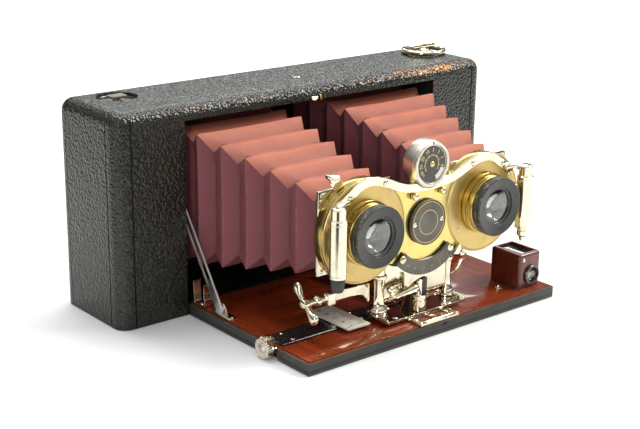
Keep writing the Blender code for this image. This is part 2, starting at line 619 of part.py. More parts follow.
def cylinders():
    """The release cylinder with its hose nozzle and the braking cylinder."""
    body = [(0, 77.3), (3.3, 77.3), (3.7, 76.8), (3.7, 71.3), (4.3, 71.3), (4.3, 42.6), (0, 42.6)]
    tip = [(2.6, 42.6), (2.6, 41.2), (2.9, 40.8), (2.9, 38.6), (1.6, 37.6), (1.4, 35.4), (0, 35.4)]
    nozzle = [(0, 42.3), (3.4, 42.3), (3.2, 38.5), (2.7, 35.8), (0, 35.8)]
    turned("hose_nozzle", (-CYLINDER_X, CYLINDER_Y, 0), "Z", nozzle, PARTS, RUBBER, 18)
    for side, name, profile in ((-1, "left", body), (1, "right", body[:-1] + tip)):
        cylinder = turned("cylinder_" + name, (side * CYLINDER_X, CYLINDER_Y, 0), "Z", profile,
                          PARTS, NICKEL, 20)
        low, high = sorted((side * 60.0, side * CYLINDER_X))
        join(cylinder, box("cylinder_clip_" + name, (low, CYLINDER_Y + 1.0, 50.0),
                           (high, DETAIL_BACK, 66.0), CUTTERS))


def dial_and_scales():
    turned("speed_dial", (0, 0, DIAL_Z), "-Y",
           [(0, -DIAL_FRONT - 0.7), (9.6, -DIAL_FRONT - 0.7), (10.0, -DIAL_FRONT), (11.4, -DIAL_FRONT),
            (DIAL_R, -DIAL_FRONT - 0.5), (DIAL_R, -DIAL_BACK), (0, -DIAL_BACK)], PARTS, NICKEL, 36)
    disc("name_disc", (0, 0, HUB_Z), "-Y", 11.8, -DETAIL_BACK, 116.9, PARTS, ENAMEL, 36)
    band = arc((0, HUB_Z), 27.5, 222, 318, 16)
    band += arc((0, HUB_Z), 20.0, 318, 222, 14)
    outline_plate("aperture_scale", band, "XZ", -116.4, DETAIL_BACK, PARTS, ENAMEL)
    pointer = arc((0, HUB_Z), 31.5, 316, 322, 3) + arc((0, HUB_Z), 28.0, 326, 312, 5)
    outline_plate("aperture_pointer", pointer, "XZ", -116.6, DETAIL_BACK, PARTS, NICKEL)
    lever = arc((-LENS_X, LENS_Z), CASE_R + 0.5, 112, 124, 4)
    lever += arc((-LENS_X, LENS_Z), 34.5, 124, 118, 3)
    outline_plate("release_lever", lever, "XZ", -110.5, -109.0, PARTS, NICKEL)


# ---------------------------------------------------------------- bellows

PLEATS, PLEAT_DEPTH, BELLOWS_WALL = 8, 5.0, 0.8
# Outer edge, inner edge, bottom and top of a bellows at three stations along Y
STATIONS = (
    (GATE_Y0 - 1.0, (83.0, 13.4, 25.6, 100.4)),
    (FRONT - 3.8, (82.8, 15.0, 27.3, 97.7)),
    (PLATE_BACK + GAP, (60.6, 18.8, 38.0, 78.6)),
)


def bellows_edges(y):
    """The four limits at a depth, by straight runs between the stations."""
    for (y0, first), (y1, second) in zip(STATIONS, STATIONS[1:]):
        if y >= y1:
            t = (y - y0) / (y1 - y0)
            return [a + (b - a) * t for a, b in zip(first, second)]
    return list(STATIONS[-1][1])


def bellows(name, side):
    """One square pleated tube with mitred corners, open at both ends."""
    back, front = STATIONS[0][0], STATIONS[-1][0]

    def section(step, inset):
        y = back + (front - back) * step / (2 * PLEATS)
        fold = (PLEAT_DEPTH if step % 2 else 0.0) + inset
        out, inward, low, high = bellows_edges(y)
        near, far = sorted((side * (out - fold), side * (inward + fold)))
        low, high = low + fold, high - fold
        return [Vector(p) * MM for p in ((near, y, low), (far, y, low), (far, y, high), (near, y, high))]

    bm = bmesh.new()
    outer = [[bm.verts.new(p) for p in section(i, 0.0)] for i in range(2 * PLEATS + 1)]
    inner = [[bm.verts.new(p) for p in section(i, BELLOWS_WALL)] for i in range(2 * PLEATS + 1)]
    for rings in (outer, inner):
        for first, second in zip(rings, rings[1:]):
            for k in range(4):
                bm.faces.new((first[k], first[(k + 1) % 4], second[(k + 1) % 4], second[k]))
    for a, b in ((outer[0], inner[0]), (outer[-1], inner[-1])):
        for k in range(4):
            bm.faces.new((a[k], a[(k + 1) % 4], b[(k + 1) % 4], b[k]))
    add_object(name, mesh_from(bm, name), PARTS, BELLOWS_LEATHER)


# ---------------------------------------------------------------- build

clear_scene()
PARTS = new_collection(MODEL)
CUTTERS = new_collection("cutters")

LEATHER = make_material("black_leather", (0.02, 0.02, 0.02), 0.5)
BELLOWS_LEATHER = make_material("red_bellows_leather", (0.45, 0.12, 0.12), 0.65)
MAHOGANY = make_material("mahogany", (0.30, 0.06, 0.02), 0.2)
NICKEL = make_material("nickel", (0.78, 0.75, 0.68), 0.15, 1.0)
BRASS = make_material("brass", (0.72, 0.52, 0.22), 0.3, 1.0)
ENAMEL = make_material("black_enamel", (0.03, 0.03, 0.035), 0.35)
GLASS = make_material("glass", (0.8, 0.85, 0.85), 0.05)
MIRROR = make_material("mirror", (0.9, 0.9, 0.9), 0.03, 1.0)
RUBBER = make_material("rubber", (0.08, 0.09, 0.1), 0.7)
RUBY = make_material("ruby", (0.4, 0.01, 0.01), 0.1)
PAPER = make_material("backing_paper", (0.25, 0.03, 0.03), 0.7)

body_shell()
back_cover()
ruby_window()
window_cover()
film_gate()
spools_and_keys()
latch_button()
bed()
focus_knob()
focus_track()
struts()
finder()
carriage()
rail_catch_lever()
clamp()
shutter_case()
lens_sets()
bellows_plates()
top_band()
cylinders()
dial_and_scales()
bellows("bellows_left", -1)
bellows("bellows_right", 1)
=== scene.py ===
"""Looks for the folding stereo roll-film camera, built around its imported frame.

Lengths are millimetres in the frame's axes: +X right, -Y towards the subject, +Z up.
"""

import math

import bmesh
import bpy
from mathutils import Matrix, Vector, noise


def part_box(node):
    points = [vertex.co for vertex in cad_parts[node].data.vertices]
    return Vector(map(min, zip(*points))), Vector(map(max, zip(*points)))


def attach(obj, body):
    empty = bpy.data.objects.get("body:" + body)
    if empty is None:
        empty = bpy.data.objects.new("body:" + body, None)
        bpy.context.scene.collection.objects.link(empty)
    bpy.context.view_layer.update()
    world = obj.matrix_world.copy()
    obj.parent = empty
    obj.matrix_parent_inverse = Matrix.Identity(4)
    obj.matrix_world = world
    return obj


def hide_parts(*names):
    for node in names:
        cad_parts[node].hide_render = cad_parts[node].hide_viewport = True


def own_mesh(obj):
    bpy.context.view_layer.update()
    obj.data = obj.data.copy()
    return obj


MM = 0.001

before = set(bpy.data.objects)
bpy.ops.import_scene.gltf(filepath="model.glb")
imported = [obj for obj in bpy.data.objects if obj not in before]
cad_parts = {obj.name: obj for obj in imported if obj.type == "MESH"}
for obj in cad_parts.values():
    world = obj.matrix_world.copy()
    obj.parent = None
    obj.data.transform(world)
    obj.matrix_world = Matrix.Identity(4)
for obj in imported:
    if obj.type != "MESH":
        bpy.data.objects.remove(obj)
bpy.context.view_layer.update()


# ---------------------------------------------------------------- places from the frame

def span(node):
    """Lowest and highest corner of a CAD node, in mm."""
    low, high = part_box(node)
    return low / MM, high / MM


def middle(node):
    low, high = span(node)
    return (low + high) / 2


SIDES = ((-1, "left"), (1, "right"))
BODY_LOW, BODY_HIGH = span("body_shell")
TOP, FRONT = BODY_HIGH.z, BODY_LOW.y
BED_TOP = span("bed_board")[1].z
LENS = middle("lens_ring_right")
CASE_FRONT = span("shutter_case")[0].y
CASE_BACK = span("shutter_case")[1].y
CASE_R = span("shutter_case")[1].x - LENS.x
RING_FRONT = span("lens_ring_right")[0].y
HUB = middle("name_disc")
DIAL = middle("speed_dial")
DIAL_FRONT = span("speed_dial")[0].y
DIAL_CLEAR = 12.25             # radius cut round the dial


# ---------------------------------------------------------------- materials

class Nodes:
    """A short way to write a node tree."""

    def __init__(self, material):
        material.use_nodes = True
        self.tree = material.node_tree
        self.shader = self.tree.nodes["Principled BSDF"]
        self.place = self.tree.nodes.new("ShaderNodeTexCoord").outputs["Object"]

    def add(self, kind, inputs=None, **settings):
        node = self.tree.nodes.new("ShaderNode" + kind)
        for key, value in settings.items():
            setattr(node, key, value)
        for key, value in (inputs or {}).items():
            self.set(node.inputs[key], value)
        return node

    def set(self, socket, value):
        if isinstance(value, bpy.types.NodeSocket):
            self.tree.links.new(value, socket)
        else:
            socket.default_value = value

    def math(self, operation, a, b=0.0, clamp=False):
        return self.add("Math", {0: a, 1: b}, operation=operation, use_clamp=clamp).outputs[0]

    def noise(self, scale, detail=3.0, vector=None, rough=0.5):
        made = self.add("TexNoise", {"Scale": scale, "Detail": detail, "Roughness": rough,
                                     "Vector": vector or self.place})
        return made.outputs["Fac"]

    def stretched(self, scales, vector=None):
        made = self.add("Mapping", {"Vector": vector or self.place, "Scale": scales})
        return made.outputs["Vector"]

    def ramp(self, value, low, high):
        """0 below low, 1 above high, smooth between."""
        made = self.add("MapRange", {"Value": value, "From Min": low, "From Max": high},
                        interpolation_type="SMOOTHSTEP")
        return made.outputs["Result"]

    def mix(self, factor, a, b):
        made = self.add("Mix", {0: factor}, data_type="RGBA")
        self.set(made.inputs[6], a if isinstance(a, bpy.types.NodeSocket) else (*a, 1.0))
        self.set(made.inputs[7], b if isinstance(b, bpy.types.NodeSocket) else (*b, 1.0))
        return made.outputs[2]

    def blend(self, factor, a, b):
        """A number between a and b."""
        return self.add("MapRange", {"Value": factor, "To Min": a, "To Max": b}).outputs["Result"]

    def bump(self, height, strength, distance, normal=None):
        inputs = {"Height": height, "Strength": strength, "Distance": distance}
        if normal:
            inputs["Normal"] = normal
        return self.add("Bump", inputs).outputs["Normal"]

    def finish(self, **values):
        for key, value in values.items():
            name = key.replace("_", " ").title().replace("Ior", "IOR")
            if isinstance(value, tuple) and len(value) == 3:
                value = (*value, 1.0)
            self.set(self.shader.inputs[name], value)

    def rounded_edges(self):
        """1 on a rounding between two faces, 0 on a face that looks along an axis."""
        normal = self.add("SeparateXYZ", {0: self.add("NewGeometry").outputs["Normal"]})
        x, y, z = [self.math("ABSOLUTE", normal.outputs[i]) for i in range(3)]
        pairs = [self.math("MULTIPLY", a, b) for a, b in ((x, y), (y, z), (x, z))]
        most = self.math("MAXIMUM", self.math("MAXIMUM", pairs[0], pairs[1]), pairs[2])
        return self.math("MULTIPLY", most, 2.0, True)


def new_look(name, slot):
    material = bpy.data.materials.new(name)
    return {"material": material, "slot": slot, "nodes": Nodes(material)}


def near(n, value, at, width):
    """1 where value is within width of at, falling quickly to 0."""
    gap = n.math("ABSOLUTE", n.math("SUBTRACT", value, at))
    return n.math("SUBTRACT", 1.0, n.ramp(gap, width * 0.5, width))


def leather_wear(n):
    """Where the leather is worn through: spots on its roundings, and most of the top right front edge."""
    place = n.add("SeparateXYZ", {0: n.place})
    spots = n.noise(760.0, 4.0, rough=0.68)
    patches = n.noise(26.0, 2.0)
    towards = n.math("MULTIPLY", n.ramp(place.outputs[0], 0.005, 0.07),
                     n.blend(n.ramp(place.outputs[0], 0.095, 0.118), 1.0, 0.72))
    top_front = n.math("MULTIPLY", n.ramp(place.outputs[2], 0.103, 0.108),
                       n.ramp(place.outputs[1], -0.018, -0.024))
    limit = n.blend(n.math("MULTIPLY", towards, top_front), 0.73, 0.49)
    amount = n.math("ADD", spots, n.math("MULTIPLY", n.math("SUBTRACT", patches, 0.5), 0.5))
    return n.math("MULTIPLY", n.ramp(n.math("SUBTRACT", amount, limit), -0.015, 0.02),
                  n.ramp(n.rounded_edges(), 0.60, 0.92))


def leather_seams(n):
    """The laps of the end pieces: upright on the front and on each end, 9 mm from the corner."""
    place = n.add("SeparateXYZ", {0: n.place})
    across = n.math("ABSOLUTE", place.outputs[0])
    front = n.math("LESS_THAN", place.outputs[1], FRONT * MM + 0.001)
    on_front = n.math("MULTIPLY", front, near(n, across, (BODY_HIGH.x - 9.0) * MM, 0.0005))
    end = n.math("GREATER_THAN", across, (BODY_HIGH.x - 0.6) * MM)
    on_end = n.math("MULTIPLY", end, near(n, place.outputs[1], (FRONT + 9.2) * MM, 0.0005))
    return n.math("MAXIMUM", on_front, on_end)


def grained_leather():
    """Black pebbled leather with lapped seams, worn to tan along its roundings."""
    look = new_look("grained_leather", "black_leather")
    n = look["nodes"]
    jitter = n.add("TexNoise", {"Scale": 300.0, "Detail": 2.0, "Vector": n.place}).outputs["Color"]
    moved = n.add("VectorMath", {0: jitter, 1: (0.0013, 0.0013, 0.0013)}, operation="MULTIPLY").outputs[0]
    warped = n.add("VectorMath", {0: n.place, 1: moved}).outputs[0]
    pebbles = n.add("TexVoronoi", {"Scale": 640.0, "Vector": warped, "Smoothness": 0.25},
                    feature="SMOOTH_F1").outputs["Distance"]
    worn, seams = leather_wear(n), leather_seams(n)
    dull = n.mix(n.noise(40.0, 3.0), (0.004, 0.0056, 0.0036), (0.010, 0.0130, 0.0085))
    dusty = n.mix(n.math("MULTIPLY", n.ramp(pebbles, 0.35, 0.7), 0.35), dull, (0.040, 0.034, 0.024))
    dusty = n.mix(n.math("MULTIPLY", seams, 0.5), dusty, (0.002, 0.002, 0.002))
    tan = n.mix(n.noise(700.0, 2.0), (0.75, 0.34, 0.09), (0.50, 0.22, 0.07))
    grain = n.bump(pebbles, 0.8, -0.0006, n.bump(n.noise(120.0, 3.0), 0.25, 0.0005))
    polish = n.blend(n.noise(300.0, 3.0), 0.18, 0.32)
    n.finish(base_color=n.mix(worn, dusty, tan), roughness=n.blend(seams, polish, 0.9),
             specular_ior_level=n.blend(seams, 0.52, 0.05), normal=n.bump(seams, 0.8, -0.0003, grain))
    return look


def smooth_leather():
    """Thin black leather on the bed, scuffed to tan at its corners."""
    look = new_look("smooth_leather", "black_leather")
    n = look["nodes"]
    place = n.add("SeparateXYZ", {0: n.place})
    line = near(n, place.outputs[2], 0.0020, 0.0007)
    worn = n.math("MULTIPLY", n.ramp(n.rounded_edges(), 0.5, 0.9), n.ramp(n.noise(190.0, 5.0), 0.50, 0.60))
    colour = n.mix(n.noise(60.0, 4.0), (0.026, 0.028, 0.028), (0.052, 0.054, 0.050))
    colour = n.mix(n.math("MULTIPLY", line, 0.9), colour, (0.006, 0.006, 0.006))
    turned_edge = n.math("MULTIPLY", near(n, place.outputs[2], BED_TOP * MM, 0.0011),
                         n.ramp(n.noise(240.0, 3.0), 0.3, 0.6))
    colour = n.mix(n.math("MULTIPLY", turned_edge, 0.75), colour, (0.16, 0.075, 0.035))
    n.finish(base_color=n.mix(worn, colour, (0.42, 0.20, 0.09)),
             roughness=n.blend(n.noise(220.0, 4.0), 0.42, 0.6),
             normal=n.bump(n.math("SUBTRACT", n.noise(900.0, 4.0), line), 0.45, 0.0003))
    return look


def wood(name, end_boards, dark, light):
    """Varnished mahogany: grain along X, and along Y beyond end_boards (m), or upright without them."""
    look = new_look(name, "mahogany")
    n = look["nodes"]

    def grain(scales):
        along = n.stretched(scales)
        fibres = n.noise(1.0, 6.0, along, 0.62)
        bands = n.noise(0.22, 2.0, along)
        return n.math("ADD", n.math("MULTIPLY", fibres, 0.6), n.math("MULTIPLY", bands, 0.4))

    place = n.add("SeparateXYZ", {0: n.place})
    across = n.math("ABSOLUTE", place.outputs[0])
    streaks = grain((34.0, 640.0, 640.0) if end_boards else (420.0, 420.0, 30.0))
    if end_boards:
        turned = n.math("GREATER_THAN", across, end_boards)
        streaks = n.blend(turned, streaks, grain((640.0, 34.0, 640.0)))
    pores = n.ramp(n.noise(1.0, 2.0, n.stretched((130.0, 2600.0, 2600.0))), 0.60, 0.68)
    colour = n.mix(n.ramp(streaks, 0.34, 0.66), dark, light)
    colour = n.mix(n.math("MULTIPLY", pores, 0.4), colour, (0.050, 0.009, 0.004))
    height = pores
    if end_boards:
        gap = n.math("ABSOLUTE", n.math("SUBTRACT", across, end_boards))
        seam = n.math("SUBTRACT", 1.0, n.ramp(gap, 0.00005, 0.0003))
        colour = n.mix(n.math("MULTIPLY", seam, 0.75), colour, (0.02, 0.004, 0.002))
        height = n.math("ADD", pores, seam)
    n.finish(base_color=colour, roughness=n.blend(n.noise(90.0, 3.0), 0.22, 0.36),
             coat_weight=1.0, coat_roughness=n.blend(n.noise(30.0, 3.0), 0.03, 0.08), coat_ior=1.32,
             normal=n.bump(height, 0.18, -0.00008),
             coat_normal=n.bump(n.noise(38.0, 2.0), 0.006, 0.0004))
    return look


def bellows_leather():
    """Soft red leather with painted light: lighter salmon where it faces up, painted shade on its rear-facing
    slopes and towards the valleys of the folds.
    """
    look = new_look("bellows_leather", "red_bellows_leather")
    n = look["nodes"]
    normal = n.add("SeparateXYZ", {0: n.add("NewGeometry").outputs["Normal"]})
    painted_top_light = n.ramp(normal.outputs[2], 0.15, 0.75)
    fold = n.tree.nodes.new("ShaderNodeAttribute")
    fold.attribute_name = "ridge"
    ridge = fold.outputs["Fac"]
    stains = n.noise(55.0, 4.0)
    # painted light: faces that look up are mixed to a lighter salmon, faces that look sideways stay a darker
    # maroon
    red = n.mix(painted_top_light, (0.215, 0.052, 0.064), (0.42, 0.118, 0.062))
    # painted shade: slopes that face away towards +Y are darkened
    painted_rear_shade = n.math("MULTIPLY", n.ramp(normal.outputs[1], 0.12, 0.36), 0.74)
    # painted shade in the folds: darker towards each valley
    red = n.mix(n.math("MULTIPLY", n.math("SUBTRACT", 1.0, ridge), 0.45), red, (0.075, 0.018, 0.022))
    red = n.mix(painted_rear_shade, red, (0.045, 0.010, 0.012))
    red = n.mix(n.math("MULTIPLY", n.ramp(stains, 0.45, 0.75), 0.35), red, (0.14, 0.035, 0.035))
    rub = n.math("MULTIPLY", n.ramp(ridge, 0.86, 0.99), n.ramp(n.noise(380.0, 4.0), 0.48, 0.62))
    red = n.mix(n.math("MULTIPLY", rub, 0.16), red, (0.50, 0.20, 0.14))
    grain = n.add("TexVoronoi", {"Scale": 1700.0, "Vector": n.place}).outputs["Distance"]
    n.finish(base_color=red, roughness=n.blend(n.noise(150.0, 3.0), 0.52, 0.72),
             sheen_weight=0.06, sheen_roughness=0.5, sheen_tint=(0.9, 0.55, 0.5),
             normal=n.bump(grain, 0.22, 0.00022, n.bump(n.noise(70.0, 4.0), 0.4, 0.0009)))
    return look


def metal(name, slot, base, other, rough, scratches=0.12, brushed=None):
    """Plated or bare metal with uneven polish, fine scratches and a little tarnish."""
    look = new_look(name, slot)
    n = look["nodes"]
    tarnish = n.ramp(n.noise(130.0, 5.0, rough=0.6), 0.46, 0.74)
    lines = n.noise(1.0, 3.0, n.stretched(brushed or (900.0, 2600.0, 2600.0)))
    uneven = n.math("ADD", n.math("MULTIPLY", n.noise(210.0, 4.0), 0.6), n.math("MULTIPLY", lines, 0.4))
    pits = n.ramp(n.noise(1500.0, 2.0), 0.70, 0.76)
    colour = n.mix(n.math("MULTIPLY", tarnish, 0.55), base, other)
    n.finish(base_color=n.mix(n.math("MULTIPLY", pits, 0.4), colour, other), metallic=1.0,
             roughness=n.blend(uneven, rough * 0.6, rough * 1.5),
             normal=n.bump(lines, scratches, 0.00003, n.bump(n.noise(60.0, 2.0), 0.10, 0.0006)))
    return look


def enamel(name, base, rough=0.3, coat=0.4, rubs=0.7):
    look = new_look(name, "black_enamel")
    n = look["nodes"]
    rubbed = n.math("MULTIPLY", n.ramp(n.rounded_edges(), 0.55, 0.95), n.ramp(n.noise(420.0, 4.0), 0.5, 0.62))
    lighter = tuple(1.5 * c + 0.004 for c in base)
    colour = n.mix(n.ramp(n.noise(120.0, 4.0), 0.3, 0.75), base, lighter)
    n.finish(base_color=n.mix(n.math("MULTIPLY", rubbed, rubs), colour, (0.30, 0.25, 0.17)),
             roughness=n.blend(n.noise(260.0, 3.0), rough * 0.7, rough * 1.4), coat_weight=coat,
             coat_roughness=0.08, normal=n.bump(n.noise(500.0, 3.0), 0.12, 0.0001))
    return look


def glass(name, slot, tint, ior):
    look = new_look(name, slot)
    n = look["nodes"]
    dust = n.ramp(n.noise(900.0, 3.0), 0.60, 0.75)
    n.finish(base_color=tint, transmission_weight=1.0, ior=ior, specular_ior_level=0.9,
             roughness=n.blend(dust, 0.0, 0.12))
    return look


def plain(name, slot, base, rough, metallic=0.0, grain=500.0, depth=0.0001):
    """A quiet surface with some colour variation and a fine grain."""
    look = new_look(name, slot)
    n = look["nodes"]
    darker = tuple(c * 0.6 for c in base)
    n.finish(base_color=n.mix(n.noise(110.0, 4.0), darker, base), metallic=metallic,
             roughness=n.blend(n.noise(300.0, 3.0), rough * 0.8, min(1.0, rough * 1.25)),
             normal=n.bump(n.noise(grain, 3.0), 0.25, depth))
    return look


GRAINED = grained_leather()
SMOOTH = smooth_leather()
BOARD = wood("bed_mahogany", 0.064, (0.120, 0.015, 0.003), (0.310, 0.046, 0.008))
CASE_WOOD = wood("finder_mahogany", None, (0.060, 0.010, 0.004), (0.135, 0.024, 0.008))
RED = bellows_leather()
NICKEL = metal("polished_nickel", "nickel", (0.84, 0.78, 0.62), (0.50, 0.44, 0.30), 0.08)
WORN_NICKEL = metal("satin_nickel", "nickel", (0.70, 0.67, 0.58), (0.38, 0.35, 0.27), 0.30, 0.2)
STEEL = metal("strut_steel", "nickel", (0.74, 0.73, 0.69), (0.42, 0.42, 0.40), 0.34, 0.3)
BRASS = metal("lacquered_brass", "brass", (0.56, 0.41, 0.13), (0.28, 0.19, 0.05), 0.20)
SATIN = metal("satin_gilt", "brass", (0.62, 0.47, 0.19), (0.44, 0.32, 0.11), 0.36, 0.3,
              (300.0, 2600.0, 2600.0))
BRIGHT = metal("bright_gilt", "brass", (0.74, 0.61, 0.22), (0.52, 0.40, 0.12), 0.20)
BLACK = enamel("black_enamel", (0.010, 0.010, 0.010), 0.25, 0.5, 0.35)
SLATE = enamel("slate_enamel", (0.085, 0.080, 0.062), 0.40, 0.1, 0.2)
GLASS = glass("lens_glass", "glass", (0.42, 0.47, 0.44), 2.1)
RUBY = glass("ruby_glass", "ruby_glass", (0.5, 0.01, 0.01), 1.5)
CREAM = plain("silvered_scale", "nickel", (0.90, 0.87, 0.74), 0.5, 0.0)
DARK_STEEL = metal("dark_steel", "nickel", (0.34, 0.31, 0.27), (0.16, 0.14, 0.11), 0.18)
MIRROR = plain("silvered_mirror", "mirror", (0.92, 0.92, 0.90), 0.04, 1.0)
RUBBER = plain("grey_rubber", "rubber", (0.055, 0.060, 0.066), 0.62, grain=1400.0)
PAPER = plain("backing_paper", "backing_paper", (0.30, 0.03, 0.03), 0.75)
RING_BLACK = enamel("ring_black", (0.026, 0.027, 0.025), 0.34, 0.15, 0.5)
MAROON = enamel("maroon_enamel", (0.030, 0.009, 0.007), 0.22, 0.4, 0.3)
WHITE_INK = plain("white_fill", "black_enamel", (0.36, 0.35, 0.30), 0.6)
AGED = plain("aged_plate", "nickel", (0.24, 0.21, 0.16), 0.55, 0.4)
BLACK_INK = plain("black_fill", "black_enamel", (0.01, 0.01, 0.01), 0.5)
GOLD_INK = metal("gold_fill", "brass", (0.86, 0.66, 0.28), (0.60, 0.42, 0.14), 0.35)
INSIDE = plain("matt_black", "black_enamel", (0.008, 0.008, 0.008), 0.8)


# ---------------------------------------------------------------- shape helpers

TURNS = {
    "Z": Matrix(),
    "-Z": Matrix.Rotation(math.pi, 4, "X"),
    "Y": Matrix.Rotation(-math.pi / 2, 4, "X"),
    "-Y": Matrix.Rotation(math.pi / 2, 4, "X"),
    "-X": Matrix.Rotation(-math.pi / 2, 4, "Y"),
    "X": Matrix.Rotation(math.pi / 2, 4, "Y"),
}


def placed(place, axis="Z", turn=0.0):
    return Matrix.Translation(place) @ TURNS[axis] @ Matrix.Rotation(math.radians(turn), 4, "Z")


def add_piece(name, bm, look, body, replaces=(), smooth=38.0, bevel=0.0, matrix=None):
    """Turns a bmesh in mm into a shaded piece that rides on a body."""
    bm.transform(Matrix.Scale(MM, 4) @ (matrix or Matrix()))
    bmesh.ops.recalc_face_normals(bm, faces=bm.faces)
    mesh = bpy.data.meshes.new(name)
    bm.to_mesh(mesh)
    bm.free()
    return dress(name, mesh, look, body, replaces, smooth, bevel)


def dress(name, mesh, look, body, replaces=(), smooth=38.0, bevel=0.0):
    mesh.shade_smooth()
    mesh.set_sharp_from_angle(angle=math.radians(smooth))
    mesh.materials.clear()
    mesh.materials.append(look["material"])
    piece = bpy.data.objects.new(name, mesh)
    bpy.context.scene.collection.objects.link(piece)
    if bevel:
        soften(piece, bevel)
    if body:
        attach(piece, body)
    if replaces:
        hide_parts(*replaces)
    return piece


def soften(piece, width, segments=3):
    edge = piece.modifiers.new("Edges", "BEVEL")
    edge.width = width * MM
    edge.segments = segments
    edge.limit_method = "ANGLE"
    edge.angle_limit = math.radians(38.0)
    edge.harden_normals = True
    edge.use_clamp_overlap = True


def carve(piece, *cutters):
    """Cuts closed cutter objects out of a piece and removes them."""
    kept = [(m.width, m.segments) for m in piece.modifiers if m.type == "BEVEL"]
    piece.modifiers.clear()
    for cutter in cutters:
        hole = piece.modifiers.new("Hole", "BOOLEAN")
        hole.operation, hole.solver, hole.object = "DIFFERENCE", "EXACT", cutter
    bpy.context.view_layer.update()
    evaluated = piece.evaluated_get(bpy.context.evaluated_depsgraph_get())
    piece.data = bpy.data.meshes.new_from_object(evaluated)
    piece.modifiers.clear()
    for cutter in cutters:
        bpy.data.objects.remove(cutter, do_unlink=True)
    piece.data.shade_smooth()
    piece.data.set_sharp_from_angle(angle=math.radians(38.0))
    for width, segments in kept:
        soften(piece, width / MM, segments)


def block_mesh(low, high, radius=0.0, segments=6, picked=None):
    low, high = Vector(low), Vector(high)
    bm = bmesh.new()
    bmesh.ops.create_cube(bm, size=1.0)
    size, centre = high - low, (low + high) / 2
    for vert in bm.verts:
        vert.co = centre + Vector([vert.co[i] * size[i] for i in range(3)])
    if radius:
        edges = []
        for edge in bm.edges:
            at = (edge.verts[0].co + edge.verts[1].co) / 2 - centre
            along = (edge.verts[0].co - edge.verts[1].co).normalized()
            if picked is None or picked(at, along):
                edges.append(edge)
        bmesh.ops.bevel(bm, geom=edges, offset=radius, segments=segments, profile=0.5,
                        affect="EDGES", clamp_overlap=True)
    return bm


def block(name, low, high, look, body, replaces=(), radius=0.0, segments=6, picked=None, bevel=0.0):
    return add_piece(name, block_mesh(low, high, radius, segments, picked), look, body, replaces, bevel=bevel)


def cutter(bm, matrix=None):
    return add_piece("cutter", bm, INSIDE, None, matrix=matrix)


def lathe_mesh(profile, steps=72, knurl=0.0, knurl_from=1e9, teeth=48):
    """Spins (radius, height) points; knurl ripples the points at or beyond knurl_from."""
    bm = bmesh.new()
    rings = []
    steps = teeth * 4 if knurl else steps
    for radius, height in profile:
        if radius < 1e-6:
            rings.append([bm.verts.new((0, 0, height))])
            continue
        ring = []
        for i in range(steps):
            angle = 2 * math.pi * i / steps
            r = radius + (knurl * math.cos(teeth * angle) if radius >= knurl_from else 0.0)
            ring.append(bm.verts.new((r * math.cos(angle), r * math.sin(angle), height)))
        rings.append(ring)
    if len(rings[0]) > 1:
        rings.append(rings[0])
    for first, second in zip(rings, rings[1:]):
        if len(first) == len(second) == 1:
            continue
        for i in range(steps):
            corners = [first[i % len(first)], first[(i + 1) % len(first)],
                       second[(i + 1) % len(second)], second[i % len(second)]]
            bm.faces.new(list(dict.fromkeys(corners)))
    return bm


def bore(radius, high, low, steps, matrix):
    """A round cutter between two heights on its own axis."""
    return cutter(lathe_mesh([(0, high), (radius, high), (radius, low), (0, low)], steps), matrix)


def lathe(name, place, axis, profile, look, body, replaces=(), bevel=0.0, **shape):
    return add_piece(name, lathe_mesh(profile, **shape), look, body, replaces, 32.0, bevel,
                     placed(place, axis))


PLANES = {"XZ": (0, 2, 1), "YZ": (1, 2, 0), "XY": (0, 1, 2)}


def plate_mesh(outline, plane, low, high):
    """A flat outline made solid between two levels across its plane."""
    first, second, across = PLANES[plane]
    bm = bmesh.new()
    verts = []
    for a, b in outline:
        point = [0.0, 0.0, 0.0]
        point[first], point[second], point[across] = a, b, low
        verts.append(bm.verts.new(point))
    face = bm.faces.new(verts)
    made = bmesh.ops.extrude_face_region(bm, geom=[face])
    shift = Vector([high - low if i == across else 0.0 for i in range(3)])
    bmesh.ops.translate(bm, vec=shift, verts=[v for v in made["geom"] if isinstance(v, bmesh.types.BMVert)])
    return bm


def plate(name, outline, plane, low, high, look, body, replaces=(), bevel=0.2):
    return add_piece(name, plate_mesh(outline, plane, low, high), look, body, replaces, bevel=bevel)


def arc(centre, radius, start, stop, count=24):
    """Points on an arc, angles in degrees."""
    angles = [math.radians(start + (stop - start) * i / count) for i in range(count + 1)]
    return [(centre[0] + radius * math.cos(a), centre[1] + radius * math.sin(a)) for a in angles]


def smooth_path(points, per=6):
    """A Catmull-Rom curve through points of any dimension."""
    points = [Vector(p) for p in points]
    padded = [2 * points[0] - points[1], *points, 2 * points[-1] - points[-2]]
    made = []
    for a, b, c, d in zip(padded, padded[1:], padded[2:], padded[3:]):
        for i in range(per):
            t = i / per
            made.append(0.5 * (2 * b + (c - a) * t + (2 * a - 5 * b + 4 * c - d) * t * t
                               + (3 * b - a - 3 * c + d) * t ** 3))
    return made + [points[-1]]


def ribbon_outline(path, thick):
    """Both sides of a bent strip along a 2D path."""
    left, right = [], []
    for i, point in enumerate(path):
        ahead = path[min(i + 1, len(path) - 1)] - path[max(i - 1, 0)]
        across = Vector((-ahead.y, ahead.x)).normalized() * thick / 2
        left.append(tuple(point + across))
        right.append(tuple(point - across))
    return left + right[::-1]


